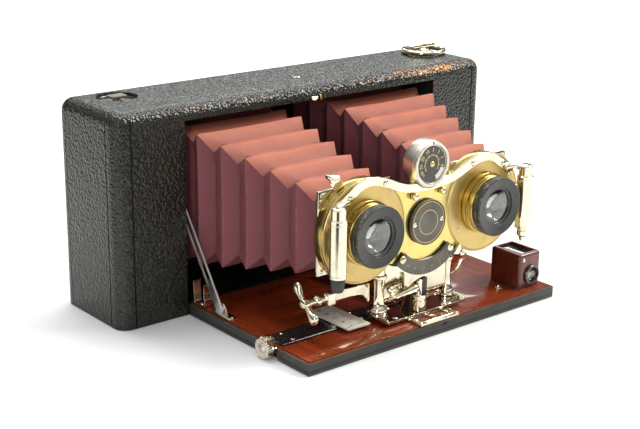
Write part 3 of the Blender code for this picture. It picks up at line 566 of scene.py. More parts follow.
def swept(name, stations, look, body, replaces=(), steps=24, across=Vector((1, 0, 0))):
    """A form with elliptical sections: stations are (centre, half width along across, half depth)."""
    bm = bmesh.new()
    rings = []
    for i, (centre, wide, deep) in enumerate(stations):
        centre = Vector(centre)
        ahead = Vector(stations[min(i + 1, len(stations) - 1)][0]) - Vector(stations[max(i - 1, 0)][0])
        side = (across - ahead * across.dot(ahead) / ahead.length_squared).normalized()
        other = ahead.cross(side).normalized()
        ring = []
        for k in range(steps):
            angle = 2 * math.pi * k / steps
            ring.append(bm.verts.new(centre + side * wide * math.cos(angle) + other * deep * math.sin(angle)))
        rings.append(ring)
    for first, second in zip(rings, rings[1:]):
        for k in range(steps):
            bm.faces.new((first[k], first[(k + 1) % steps], second[(k + 1) % steps], second[k]))
    bm.faces.new(rings[0])
    bm.faces.new(rings[-1])
    return add_piece(name, bm, look, body, replaces, 50.0)


def rod(name, points, radius, look, body, replaces=(), per=6):
    """A round bar through points, with ends rounded over one radius."""
    path = smooth_path(points, per)
    start, end = (path[0] - path[1]).normalized(), (path[-1] - path[-2]).normalized()
    stations = []
    for k in range(5, 0, -1):
        angle = math.pi / 2 * k / 5
        stations.append((path[0] + start * radius * (math.sin(angle) - 1) + start * radius,
                         radius * max(0.05, math.cos(angle)), radius * max(0.05, math.cos(angle))))
    stations += [(p, radius, radius) for p in path]
    for k in range(1, 6):
        angle = math.pi / 2 * k / 5
        stations.append((path[-1] + end * radius * math.sin(angle),
                         radius * max(0.05, math.cos(angle)), radius * max(0.05, math.cos(angle))))
    return swept(name, stations, look, body, replaces, 20, Vector((0.31, 0.22, 0.92)))


def screw_mesh():
    """A domed head of radius 1 with a slot, seated at height 0."""
    dome = [(0, 0.42), (0.35, 0.40), (0.65, 0.32), (0.88, 0.18), (0.98, 0.05), (1.0, -0.1), (0, -0.1)]
    head = add_piece("screw_head", lathe_mesh(dome, 32), NICKEL, None)
    head.data.transform(Matrix.Scale(1 / MM, 4))
    slot = cutter(block_mesh((-1.3, -0.13, 0.12), (1.3, 0.13, 1.0)))
    slot.data.transform(Matrix.Scale(1 / MM, 4))
    carve(head, slot)
    mesh = head.data
    bpy.data.objects.remove(head, do_unlink=True)
    return mesh


SCREW = screw_mesh()


def screw(name, place, axis, radius, turn, body, look=None):
    look = look or NICKEL
    mesh = SCREW.copy()
    mesh.transform(Matrix.Scale(MM, 4) @ placed(place, axis, turn) @ Matrix.Scale(radius, 4))
    return dress(name, mesh, look, body)


def figure(name, text, size, place, turn, look, body, depth=0.12, flat=False):
    """A plain numeral in relief, facing -Y (or up, if flat), turned about its own middle."""
    curve = bpy.data.curves.new(name, "FONT")
    curve.body, curve.size, curve.extrude = text, size, depth / 2
    curve.align_x, curve.align_y = "CENTER", "CENTER"
    curve.resolution_u = 3
    shape = bpy.data.objects.new(name, curve)
    bpy.context.scene.collection.objects.link(shape)
    bpy.context.view_layer.update()
    mesh = bpy.data.meshes.new_from_object(shape.evaluated_get(bpy.context.evaluated_depsgraph_get()))
    bpy.data.objects.remove(shape, do_unlink=True)
    bpy.data.curves.remove(curve)
    facing = Matrix() if flat else TURNS["-Y"]
    mesh.transform(Matrix.Scale(MM, 4) @ Matrix.Translation(place) @ facing
                   @ Matrix.Rotation(math.radians(turn), 4, "Z"))
    return dress(name, mesh, look, body)


def ticks(name, marks, look, body):
    """Many thin bars in one piece: each mark is (centre, length along, width, turn, facing)."""
    bm = bmesh.new()
    for centre, length, width, turn, facing in marks:
        bar = block_mesh((-width / 2, -length / 2, -0.05), (width / 2, length / 2, 0.05))
        bar.transform(placed(centre, facing, turn))
        mesh = bpy.data.meshes.new("bar")
        bar.to_mesh(mesh)
        bar.free()
        bm.from_mesh(mesh)
        bpy.data.meshes.remove(mesh)
    return add_piece(name, bm, look, body)


def keep_node(node, look, bevel=0.0, smooth=32.0):
    """Gives a carried-over CAD node its finish, smooth roundings and slightly eased edges."""
    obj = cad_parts[node]
    obj.data.materials.clear()
    obj.data.materials.append(look["material"])
    weld = obj.modifiers.new("Weld", "WELD")
    weld.merge_threshold = 0.000002
    if bevel:
        soften(obj, bevel, 2)
    obj.data.shade_smooth()
    shade = obj.modifiers.new("Sharp", "NODES")
    shade.node_group = smooth_group(smooth)


def smooth_group(degrees):
    """A node group that shades smooth below an angle, for nodes whose mesh isn't touched."""
    name = f"smooth_{degrees:g}"
    if name in bpy.data.node_groups:
        return bpy.data.node_groups[name]
    group = bpy.data.node_groups.new(name, "GeometryNodeTree")
    group.interface.new_socket("Geometry", in_out="INPUT", socket_type="NodeSocketGeometry")
    group.interface.new_socket("Geometry", in_out="OUTPUT", socket_type="NodeSocketGeometry")
    start, end = group.nodes.new("NodeGroupInput"), group.nodes.new("NodeGroupOutput")
    angle = group.nodes.new("GeometryNodeInputMeshEdgeAngle")
    compare = group.nodes.new("ShaderNodeMath")
    compare.operation = "LESS_THAN"
    compare.inputs[1].default_value = math.radians(degrees)
    shade = group.nodes.new("GeometryNodeSetShadeSmooth")
    shade.domain = "EDGE"
    group.links.new(start.outputs[0], shade.inputs["Geometry"])
    group.links.new(angle.outputs["Unsigned Angle"], compare.inputs[0])
    group.links.new(compare.outputs[0], shade.inputs["Shade Smooth"])
    group.links.new(shade.outputs[0], end.inputs[0])
    return group


# ---------------------------------------------------------------- body

def outer_edges(sign):
    """Picks the upright edges and the top edges on the front (-1) or rear (+1) half."""
    def picked(at, along):
        upright = abs(along.z) > 0.9 and at.y * sign > 0
        top_long = abs(along.x) > 0.9 and at.z > 0 and at.y * sign > 0
        top_side = abs(along.y) > 0.9 and at.z > 0
        return upright or top_long or top_side
    return picked


ROUNDING = 7.0
OPEN_X = span("film_gate")[1].x - 3.0
OPEN_TOP = TOP - 8.0
SUPPLY, TAKE_UP = middle("supply_spool"), middle("take_up_spool")
BUTTON = middle("latch_button")
BAY_OUT = BODY_HIGH.x - 4.5
ROLL_R = 7.0                   # the paper and film on each spool


def camera_body():
    rear = BODY_HIGH.y
    body = block("leather_body", BODY_LOW, BODY_HIGH, GRAINED, "camera_body", ["body_shell"],
                 ROUNDING, 10, outer_edges(-1), bevel=0.6)
    holes = [
        cutter(block_mesh((-OPEN_X, FRONT - 2, BED_TOP), (OPEN_X, 12, OPEN_TOP))),
        cutter(block_mesh((-BAY_OUT, 11, 5), (BAY_OUT, rear + 2, TOP - 5))),
        cutter(lathe_mesh([(0, 3), (3.5, 3), (3.5, -2.5), (1.6, -2.5), (1.6, -12), (0, -12)], 40),
               placed((BUTTON.x, -5.0, TOP))),
        cutter(lathe_mesh([(0, 3), (11, 3), (11, -2.2), (10.4, -2.5), (2.3, -2.5), (2.3, -9), (0, -9)], 72),
               placed((SUPPLY.x, SUPPLY.y, TOP))),
        bore(2.3, 3, -9, 40, placed((TAKE_UP.x, TAKE_UP.y, TOP))),
    ]
    for side, _ in SIDES:
        low, high = sorted((side * (OPEN_X + 3.5), side * BAY_OUT))
        holes.append(cutter(block_mesh((low, FRONT + 6, 5), (high, 12, TOP - 5))))
    carve(body, *holes)
    lining = [(-OPEN_X + 0.15, BED_TOP + 0.5), (-OPEN_X + 0.15, OPEN_TOP - 0.15),
              (OPEN_X - 0.15, OPEN_TOP - 0.15), (OPEN_X - 0.15, BED_TOP + 0.5),
              (OPEN_X - 0.5, BED_TOP + 0.5), (OPEN_X - 0.5, OPEN_TOP - 0.5),
              (-OPEN_X + 0.5, OPEN_TOP - 0.5), (-OPEN_X + 0.5, BED_TOP + 0.5)]
    plate("opening_lining", lining, "XZ", FRONT + 3.0, 10.5, INSIDE, "camera_body", bevel=0.0)


def back():
    low, high = span("back_cover")
    cover = block("leather_back", low, high, GRAINED, "back_cover", ["back_cover"],
                  ROUNDING, 10, outer_edges(1), bevel=0.5)
    window = middle("ruby_window")
    holes = [cutter(block_mesh((-BAY_OUT, low.y - 2, 5), (BAY_OUT, high.y - 4, TOP - 5))),
             cutter(lathe_mesh([(0, 12), (7, 12), (7, 2.2), (5, 2.2), (5, -2), (0, -2)], 56),
                    placed((window.x, high.y, window.z), "-Y"))]
    for x in (-high.x + 10.0, high.x - 10.0):
        holes.append(cutter(block_mesh((x - 0.22, high.y - 0.28, 5), (x + 0.22, high.y + 1, TOP - 8.4))))
    carve(cover, *holes)
    keep_node("ruby_window", RUBY, 0.2)
    disc = lathe_mesh([(7.1, 0.9), (7.4, 0.5), (7.4, 0), (5.1, 0), (5.1, 0.9)], 64)
    add_piece("window_bezel", disc, BLACK, "back_cover", bevel=0.15,
              matrix=placed((window.x, high.y - 0.75, window.z), "Y"))
    plate_low, plate_high = span("window_cover")
    pivot_z = window.z + 13.0
    outline = arc((window.x, window.z), 7.5, 150, 390) + arc((window.x, pivot_z), 3.0, 30, 150, 12)
    plate("swing_cover", outline, "XZ", plate_low.y, plate_high.y, NICKEL, "window_cover", ["window_cover"],
          0.25)
    screw("window_pivot_screw", (window.x, plate_high.y + 0.1, pivot_z), "Y", 1.9, 30, "window_cover")
    for side, name in SIDES:
        x = side * (high.x - 18.0)
        plate("back_clasp_" + name,
              arc((x, 9.0), 3.2, 180, 360, 14) + arc((x, 15.0), 3.2, 0, 180, 14),
              "XZ", high.y - 0.15, high.y + 0.7, WORN_NICKEL, "back_cover", bevel=0.25)
        for z in (8.6, 15.4):
            screw(f"clasp_screw_{name}_{z:.0f}", (x, high.y + 0.7, z), "Y", 1.3,
                  40 * z, "back_cover")


def film_path():
    keep_node("film_gate", INSIDE, 0.2)
    for name, place in (("supply_spool", SUPPLY), ("take_up_spool", TAKE_UP)):
        low, high = span(name)
        body = "take_up" if name == "take_up_spool" else "supply_spool"
        reel = [(2.3, high.z), (10.6, high.z), (11, high.z - 0.4), (11, high.z - 0.9), (10.7, high.z - 1.2),
                (3.6, high.z - 1.2), (3.6, low.z + 1.2), (10.7, low.z + 1.2), (11, low.z + 0.9),
                (11, low.z + 0.4), (10.6, low.z), (0, low.z), (0, high.z - 5), (2.3, high.z - 5)]
        lathe(name + "_reel", (place.x, place.y, 0), "Z", reel, BLACK, body, [name])
        turns, per = 5, 60
        path = []
        for i in range(turns * per + 1):
            radius, angle = 3.8 + (ROLL_R - 3.8) * i / (turns * per), 2 * math.pi * i / per
            path.append(Vector((radius * math.cos(angle), radius * math.sin(angle))))
        paper = plate_mesh(ribbon_outline(path, 0.35), "XY", low.z + 1.4, high.z - 1.4)
        add_piece(name + "_paper", paper, PAPER, body,
                  matrix=Matrix.Translation((place.x, place.y, 0)))


def top_fittings():
    x, y = TAKE_UP.x, TAKE_UP.y
    ring = [(13.0 + 1.4 * math.cos(a), 1.75 + 1.5 * math.sin(a))
            for a in [math.radians(-70 + 320 * i / 22) for i in range(23)]]
    ring = [(r - 0.8, h) for r, h in ring]
    lathe("winding_ring", (x, y, TOP), "Z", ring[::-1] + [(11.2, 0.3), (12.6, 0.3)], NICKEL, "camera_body",
          ["key_socket"], steps=96)
    hub = [(0, 2.6), (3.2, 2.6), (4.0, 2.2), (4.2, 1.8), (4.2, 0.9), (3.9, 0.5), (1.9, 0.4), (1.9, -9.5),
           (0, -9.5)]
    lathe("winding_hub", (x, y, TOP), "Z", hub, NICKEL, "take_up", ["winding_key"], 0.1)
    low, high = span("winding_key")
    stations = []
    for i in range(25):
        s = -1 + 2 * i / 24
        wide = 2.0 * (1 - abs(s) ** 6) ** 0.5 + 0.08
        stations.append(((x + s * (high.x - x - 0.1), y, high.z - 2.5), 0.75 + 0.35 * (1 - s * s), wide))
    swept("winding_wing", stations, NICKEL, "take_up", across=Vector((0, 1, 0)))
    rod("winding_grip", [(x - 2.6, y, high.z - 1.6), (x, y, high.z - 0.9), (x + 2.6, y, high.z - 1.6)], 0.85,
        NICKEL, "take_up")
    hook = [(x + 11.4, y + 1.5, TOP + 1.0), (x + 12.8, y + 3.0, TOP + 1.2), (x + 14.2, y + 6.0, TOP + 0.9)]
    rod("ring_click", hook, 0.45, BLACK, "camera_body")
    x, y = SUPPLY.x, SUPPLY.y
    lathe("recess_dish", (x, y, TOP), "Z", [(10.9, -0.3), (10.9, -2.45), (2.5, -2.45), (2.5, -2.1),
                                            (10.3, -2.0),
                                            (10.6, -1.6), (10.6, -0.3)], BLACK, "camera_body", (), 0.08)
    block("pull_tab", (x - 4.6, y - 3.1, TOP - 0.5), (x + 4.6, y + 3.1, TOP + 0.8), AGED,
          "spool_pull_key", ["spool_pull_key"], 0.5, 5)
    lathe("pull_stem", (x, y, TOP), "Z", [(0, -0.4), (1.8, -0.4), (1.9, -0.7), (1.9, -9.5), (0, -9.5)],
          NICKEL, "spool_pull_key")
    x, y = BUTTON.x, -5.0
    button = lathe("bed_button", (x, y, TOP), "Z",
                   [(0, 0.5), (1.6, 0.55), (2.6, 0.45), (3.0, 0.1), (3.1, -0.3), (3.0, -0.6), (1.2, -0.6),
                    (1.2, -9.0), (0, -9.0)], DARK_STEEL, "bed_latch", ["latch_button"])
    carve(button, cutter(block_mesh((x - 4, y - 0.4, TOP - 0.1), (x + 4, y + 0.4, TOP + 2))))
    lathe("button_bezel", (x, y, TOP), "Z", [(3.5, 0.12), (4.7, 0.1), (4.8, -0.15), (3.45, -0.2)],
          BLACK, "camera_body")
    low, high = span("latch_button")
    block("catch_tongue", (low.x, low.y, low.z + 1.2), (high.x, high.y, low.z + 2.6), STEEL, "bed_latch",
          (), 0.4, 4)


def keeper():
    """The half-round keeper and the pin on the strip above the opening."""
    z = (TOP + OPEN_TOP) / 2 - 2.2
    half_round = arc((-3.0, z), 2.4, 180, 360, 20)
    plate("bed_keeper", half_round, "XZ", FRONT - 0.9, FRONT + 0.2, NICKEL, "camera_body", bevel=0.3)
    rod("keeper_pin", [(1.2, FRONT + 0.4, z + 0.2), (1.2, FRONT - 0.4, z), (1.2, FRONT - 1.0, z - 1.4),
                       (1.2, FRONT - 0.9, z - 2.4)], 0.6, BRASS, "camera_body")


# ---------------------------------------------------------------- bed

KNOB = middle("focus_knob")
COVER_LOW, COVER_HIGH = span("pinion_cover")


def bed():
    keep_node("bed_board", BOARD, 0.35)
    keep_node("bed_leather", SMOOTH, 0.5)
    keep_node("bed_hinge_pin", NICKEL, 0.2)
    keep_node("tripod_bush", BRASS, 0.2)
    keep_node("pinion_cover", BLACK, 0.25)
    keep_node("distance_scale", CREAM, 0.1)
    front = span("bed_leather")[0].y
    # painted shade: a flat matt-black block on the bed's front edge stands in for the shaded inside of a slot
    block("bed_slot_painted_shade", (1.6, front - 0.12, 4.1), (4.8, front + 0.5, 5.6), INSIDE, "camera_body", (),
          0.3, 3)
    for i, (dx, dy) in enumerate(((8, 2.6), (8, 11.4), (34, 2.6), (52, 11.4), (52, 2.6))):
        screw(f"cover_screw_{i + 1}", (COVER_LOW.x + dx, COVER_LOW.y + dy, COVER_HIGH.z), "Z", 1.25,
              35 + 50 * i, "camera_body")
    knob_profile = [(0, 90.3), (2.6, 90.5), (4.0, 91.0), (4.6, 91.0), (5.15, 90.7), (5.28, 90.2),
                    (5.28, 85.6),
                    (5.0, 84.9), (1.3, 84.9), (1.3, 12.0), (2.6, 12.0), (2.6, 2.2), (0, 2.2)]
    lathe("milled_knob", (0, KNOB.y, KNOB.z), "-X", knob_profile, NICKEL, "focus_knob", ["focus_knob"],
          knurl=0.24, knurl_from=5.2, teeth=30)
    screw("knob_screw", (-90.5, KNOB.y, KNOB.z), "-X", 2.6, 20, "focus_knob", STEEL)


def distance_marks():
    low, high = span("distance_scale")
    marks = []
    for i in range(13):
        y = low.y + 3.0 + i * (high.y - low.y - 6.0) / 12
        long = 4.2 if i % 3 == 0 else 2.4
        marks.append(((high.x - 1.2 - long / 2, y, high.z), long, 0.3, 90, "Z"))
    ticks("distance_ticks", marks, BLACK_INK, "camera_body")
    for i, text in enumerate(("6", "8", "12", "25", "50")):
        y = low.y + 3.0 + 3 * i * (high.y - low.y - 6.0) / 12
        figure(f"distance_figure_{text}", text, 2.9, (low.x + 4.4, y, high.z), 0, BLACK_INK, "camera_body",
               flat=True)
    for i, (x, y) in enumerate(((low.x + 1.5, low.y + 1.5), (high.x - 1.5, high.y - 1.5))):
        screw(f"scale_pin_{i + 1}", (x, y, high.z), "Z", 0.7, 70 * i, "camera_body")


def struts():
    for side, name in SIDES:
        keep_node("strut_arm_" + name, STEEL, 0.28)
        keep_node("strut_bracket_" + name, NICKEL, 0.15)
        keep_node("strut_stud_" + name, NICKEL, 0.15)
        low, high = span("strut_bracket_" + name)
        inner = side * min(abs(low.x), abs(high.x))
        arm_low = span("strut_arm_" + name)[0]
        pivot = Vector((inner, arm_low.y + 3.0, arm_low.z + 3.0))
        inward = "X" if side < 0 else "-X"
        screw("strut_rivet_" + name, (inner, pivot.y, pivot.z), inward, 1.9, 30, "camera_body")
        left, right = sorted((side * 79.6, inner))
        block("bracket_foot_" + name, (left, low.y, BED_TOP + 0.02), (right, high.y - 6.0, BED_TOP + 1.1),
              NICKEL,
              "camera_body", (), 0.4, 4)
        for i, dy in enumerate((2.4, 8.6)):
            screw(f"bracket_screw_{name}_{i + 1}", (side * 81.6, low.y + dy, BED_TOP + 1.1), "Z", 1.35,
                  30 + 70 * i, "camera_body")
        low, high = span("strut_catch_" + name)
        fore, aft = low.y + 0.9, high.y - 1.4
        path = smooth_path([(fore - 0.5, high.z - 0.2), (fore + 0.7, high.z - 1.6), (fore + 1.0, high.z - 5),
                            (fore + 0.4, low.z + 3.5), (fore + 0.9, low.z + 0.7), (fore + 3.0, low.z + 0.4),
                            (aft - 3.0, low.z + 0.4), (aft - 0.9, low.z + 0.7), (aft - 0.2, low.z + 3.5),
                            (aft + 0.2, high.z - 5.0), (aft + 0.3, high.z - 1.2),
                            (aft - 0.6, high.z - 0.4)], 8)
        plate("spring_catch_" + name, ribbon_outline(path, 0.65), "YZ", low.x, high.x, NICKEL,
              "strut_catch_" + name, ["strut_catch_" + name], 0.18)
        screw("catch_screw_" + name, ((low.x + high.x) / 2, (fore + aft) / 2, low.z + 0.75), "Z", 1.4, 15,
              "strut_catch_" + name)


def finder():
    low, high = span("finder_box")

    def top_edges(at, along):
        return at.z > 0 or abs(along.z) > 0.9

    box = block("finder_case", low, high, CASE_WOOD, "camera_body", ["finder_box"], 1.7, 6, top_edges, 0.25)
    lens = middle("finder_lens_ring")
    carve(box, cutter(block_mesh((low.x + 2.2, low.y + 2.2, low.z + 1.5),
                                 (high.x - 2.2, high.y - 2.2, high.z + 3))),
          bore(4.3, 5, -5, 48, placed((lens.x, low.y, lens.z), "-Y")))
    ring = [(4.1, 1.3), (4.6, 1.5), (5.2, 1.4), (5.5, 1.0), (5.5, 0.3), (4.0, 0.3)]
    lathe("finder_front_ring", (lens.x, low.y, lens.z), "-Y", ring, BLACK, "camera_body",
          ["finder_lens_ring"])
    dome = [(0, 0.9), (1.6, 0.75), (2.9, 0.35), (3.7, -0.1), (3.7, -1.6), (0, -1.6)]
    lathe("finder_front_lens", (lens.x, low.y, lens.z), "-Y", dome, GLASS, "camera_body", ["finder_lens"])
    keep_node("finder_glass", GLASS, 0.1)
    keep_node("finder_mirror", MIRROR)
    screw("finder_screw", (high.x, low.y + 13.0, low.z + 4.2), "X", 1.6, 25, "camera_body")
    screw("finder_front_screw", (low.x + 3.2, low.y - 0.05, high.z - 3.6), "-Y", 1.1, 25, "camera_body")


# ---------------------------------------------------------------- carriage

def bed_stud():
    """The small round stud beside the finder."""
    stud = [(0, 1.9), (0.7, 1.8), (1.1, 1.3), (1.2, 0.8), (1.9, 0.6), (2.1, 0.3), (2.1, 0.0), (0, 0.0)]
    lathe("bed_stud", (58.9, -112.2, BED_TOP), "Z", stud, NICKEL, "camera_body", steps=36)


def track():
    keep_node("focus_track", NICKEL, 0.2)
    low, high = span("focus_track")
    for side, name in SIDES:
        edge = side * (high.x - 0.7)
        block("track_rib_" + name, (edge - 0.6, low.y + 0.3, low.z + 0.1),
              (edge + 0.6, -103.0 - 16.5, high.z + 0.55),
              NICKEL, "focus_track", (), 0.35, 4)
    rod("track_stop", [(-9.0, low.y + 1.0, high.z + 0.4), (9.0, low.y + 1.0, high.z + 0.4)], 0.5, NICKEL,
        "focus_track")
    for side, name in SIDES:
        x = side * 5.5
        screw("track_screw_" + name, (x, low.y + 13.0, high.z), "Z", 1.3, 9 * x + 60,
              "focus_track")


CRANK_X, CRANK_Y = -2.9, -114.6


def carriage():
    low, high = span("carriage_base")
    base_top = 9.5
    base = block("carriage_plate", (low.x, low.y, low.z), (high.x, high.y, base_top), NICKEL,
                 "front_standard",
                 ["carriage_base"], bevel=0.25)
    carve(base, bore(1.9, 20, 0, 40, placed((CRANK_X, CRANK_Y, 0))))
    block("carriage_rib_rear", (low.x + 1, high.y - 1.4, base_top),
          (high.x - 1, high.y - 0.2, base_top + 1.1),
          NICKEL, "front_standard", (), 0.45, 4)
    for side, name in SIDES:
        edge = side * (high.x - 0.8)
        block("carriage_rib_" + name, (edge - 0.6, low.y + 0.5, base_top - 0.2),
              (edge + 0.6, high.y, base_top + 0.9),
              NICKEL, "front_standard", (), 0.45, 4)
    quadrant = arc((8.0, 4.8), 18.6, 90, 165, 40) + [(-10.0, 9.4), (8.0, 9.4)]
    plate("quadrant", quadrant, "XZ", -109.1, -108.3, MAROON, "front_standard", bevel=0.15)
    bridge = [(-22.0, 16.0), (22.0, 15.2), (22.6, 37.5), (-22.6, 37.5)]
    plate("bridge_plate", bridge, "XZ", -108.0, -107.2, NICKEL, "front_standard", bevel=0.2)
    for i, (x, y) in enumerate(((-20, -115.5), (14, -115.5), (20, -103.5), (-14, -103.5))):
        screw(f"carriage_screw_{i + 1}", (x, y, base_top), "Z", 1.3, 33 + 47 * i, "front_standard")
    post = [(0, 36.6), (2.0, 36.6), (2.3, 36.2), (2.3, 31.4), (2.9, 31.0), (3.0, 30.2), (2.9, 29.5),
            (2.4, 29.1),
            (2.2, 26.0), (2.05, 21.0), (2.3, 16.0), (2.6, 14.8), (3.3, 13.9), (3.5, 13.0), (3.5, 11.2),
            (3.3, 10.6), (3.9, 10.3), (3.9, 9.8), (0, 9.8)]
    for side, name in SIDES:
        at = middle("post_" + name)
        stout = 1.35 if side < 0 else 1.0
        lathe("turned_post_" + name, (at.x, at.y, 0), "Z", [(r * stout, z) for r, z in post], NICKEL,
              "front_standard", ["post_" + name])
        for i, x in enumerate((side * 21.0, side * 62.0)):
            for j, z in enumerate((41.2, 79.2)):
                screw(f"plate_screw_{name}_{i + 1}{j + 1}", (x, span("bellows_plate_left")[0].y, z), "-Y",
                      1.2,
                      20 + 31 * i + 57 * j, "front_standard")
        keep_node("bellows_plate_" + name, NICKEL, 0.2)


def rail_catch():
    low, high = span("rail_catch_lever")
    y = CRANK_Y
    ball = Vector((low.x + 2.2, y, high.z - 2.3))
    rod("lever_neck", [(ball.x + 0.2, y, ball.z - 1.6), (ball.x + 1.2, y, 21.6), (ball.x + 2.6, y, 20.4)],
        0.9,
        NICKEL, "rail_catch_lever", ["rail_catch_lever"])
    start, stop = Vector((ball.x + 1.8, y, 20.2)), Vector((CRANK_X - 1.6, y, 22.4))
    stations = []
    for i in range(15):
        s = i / 14
        radius = (0.95 + 1.35 * s) * min(1.0, 0.35 + 6.0 * s, 0.5 + 8.0 * (1 - s))
        stations.append((start.lerp(stop, s), radius, radius))
    swept("cranked_lever", stations, NICKEL, "rail_catch_lever", across=Vector((0, 1, 0)))
    knob = [(0, 2.1)] + [(2.1 * math.sin(math.radians(a)), 2.1 * math.cos(math.radians(a)))
                         for a in range(12, 170, 12)] + [(0.4, -2.2), (0, -2.2)]
    lathe("lever_ball", ball, "Z", knob, NICKEL, "rail_catch_lever", steps=40)
    collar = [(0, 26.2), (0.8, 26.1), (1.3, 25.6), (1.4, 24.8), (1.4, 18.4), (1.7, 17.9), (3.2, 17.8),
              (3.6, 17.4),
              (3.6, 16.2), (3.3, 15.9), (3.3, 15.4), (3.7, 15.1), (3.7, 10.2), (3.4, 9.8), (0, 9.8)]
    lathe("lever_collar", (CRANK_X, y, 0), "Z", collar, NICKEL, "rail_catch_lever")


def clamp():
    y0, y1 = -105.2, -103.8
    arm = [(-55.5, 28.5), (-48.0, 27.9), (-40.0, 27.4), (-28.4, 27.2), (-28.2, 17.4), (-29.6, 17.4),
           (-31.0, 19.2),
           (-32.4, 21.2), (-35.0, 22.3), (-42.0, 22.7), (-55.5, 22.9)]
    plate("clamp_arm", arm, "XZ", y0, y1, NICKEL, "front_standard", ["clamp_bracket"], 0.35)
    holder = block("clamp_holder", (-58.0, -108.5, 22.5), (-53.0, -103.8, 28.9), NICKEL, "front_standard",
                   (), 0.7, 5)
    pivot = Vector((-65.0, -105.9, 26.2))
    carve(holder, bore(1.5, 70, 40, 32, placed((0, pivot.y, pivot.z), "-X")))
    shaft = [(0, 73.2), (1.4, 73.1), (2.3, 72.6), (2.6, 71.9), (2.6, 68.6), (2.3, 68.1), (1.8, 67.6),
             (1.7, 65.2),
             (2.1, 64.6), (2.8, 64.1), (3.0, 63.2), (2.8, 62.3), (2.1, 61.8), (1.8, 61.0), (1.9, 59.0),
             (2.4, 58.5),
             (2.4, 57.9), (1.2, 57.8), (1.2, 53.0), (0, 53.0)]
    lathe("clamp_shaft", (0, pivot.y, pivot.z), "-X", shaft, NICKEL, "clamp_lever", ["clamp_lever"])
    heading = math.radians(139.0)
    along = Vector((0, -math.cos(heading), math.sin(heading)))
    for name, sign, reach, wide in (("upper", 1, 11.0, 3.3), ("lower", -1, 10.8, 3.5)):
        stations = []
        for i in range(22):
            s = i / 21
            flare = 1.25 + (wide - 1.25) * max(0.0, min(1.0, (s - 0.3) / 0.38)) ** 1.4
            end = max(0.04, 1 - max(0.0, (s - 0.72) / 0.28) ** 2.6) ** 0.5
            centre = Vector((-70.6 + 0.8 * sign * s * s, pivot.y, pivot.z)) + along * sign * (1.0 + reach * s)
            stations.append((centre, (1.45 + (0.2 if sign > 0 else 0.9) * s) * max(0.3, end), flare * end))
        swept(f"clamp_paddle_{name}", stations, NICKEL, "clamp_lever")


# ---------------------------------------------------------------- shutter

def case_panel():
    """The polished waist between the round housings."""
    upper = [(-26.0, 79.6), (-20.0, 77.0), (-15.0, 75.6), (15.0, 75.6), (20.0, 77.0), (26.0, 79.6)]
    lower = [(24.0, 39.0), (14.0, 37.2), (0.0, 36.6), (-14.0, 37.2), (-24.0, 39.0)]
    panel = plate("case_panel", upper + lower, "XZ", CASE_FRONT + 0.35, CASE_BACK, BRIGHT, "front_standard",
                  ["shutter_case"], 0.3)
    dial = placed((DIAL.x, 0, DIAL.z), "-Y")
    holes = [bore(DIAL_CLEAR, 125, 100, 96, dial)]
    for side, _ in SIDES:
        holes.append(bore(CASE_R - 1.0, 125, 100, 96, placed((side * LENS.x, 0, LENS.z), "-Y")))
    carve(panel, *holes)


def case_drums():
    f, b = -CASE_FRONT, -CASE_BACK
    profile = [(16.0, f), (24.9, f), (25.3, f - 0.05), (25.5, f - 0.35), (25.7, f - 0.05), (26.1, f - 0.1),
               (CASE_R, f - 0.45), (CASE_R, f - 1.6), (26.15, f - 1.75), (26.15, f - 2.1), (CASE_R, f - 2.25),
               (CASE_R, b + 0.5), (26.1, b), (21.0, b), (21.0, b + 3.0), (6.2, b + 3.0), (6.2, f - 1.2),
               (16.0, f - 1.2)]
    for side, name in SIDES:
        drum = lathe("case_drum_" + name, (side * LENS.x, 0, LENS.z), "-Y", profile, SATIN, "front_standard",
                     steps=144)
        drum.data.materials.append(BRASS["material"])
        for face in drum.data.polygons:
            out = Vector((face.center.x / MM - side * LENS.x, face.center.z / MM - LENS.z)).length
            if out > CASE_R - 0.6 and abs(face.normal.y) < 0.6:
                face.material_index = 1
        trim = Vector((DIAL.x, 0, DIAL.z))
        carve(drum, bore(DIAL_CLEAR, 125, 100, 96, placed(trim, "-Y")))
        for angle in (28, 152, 208, 332):
            a = math.radians(angle + side * 4)
            x, z = side * LENS.x + 21.6 * math.cos(a), LENS.z + 21.6 * math.sin(a)
            if abs(x) > 22:
                screw(f"drum_screw_{name}_{angle}", (x, CASE_FRONT, z), "-Y", 1.05, angle * 1.7,
                      "front_standard",
                      WORN_NICKEL)


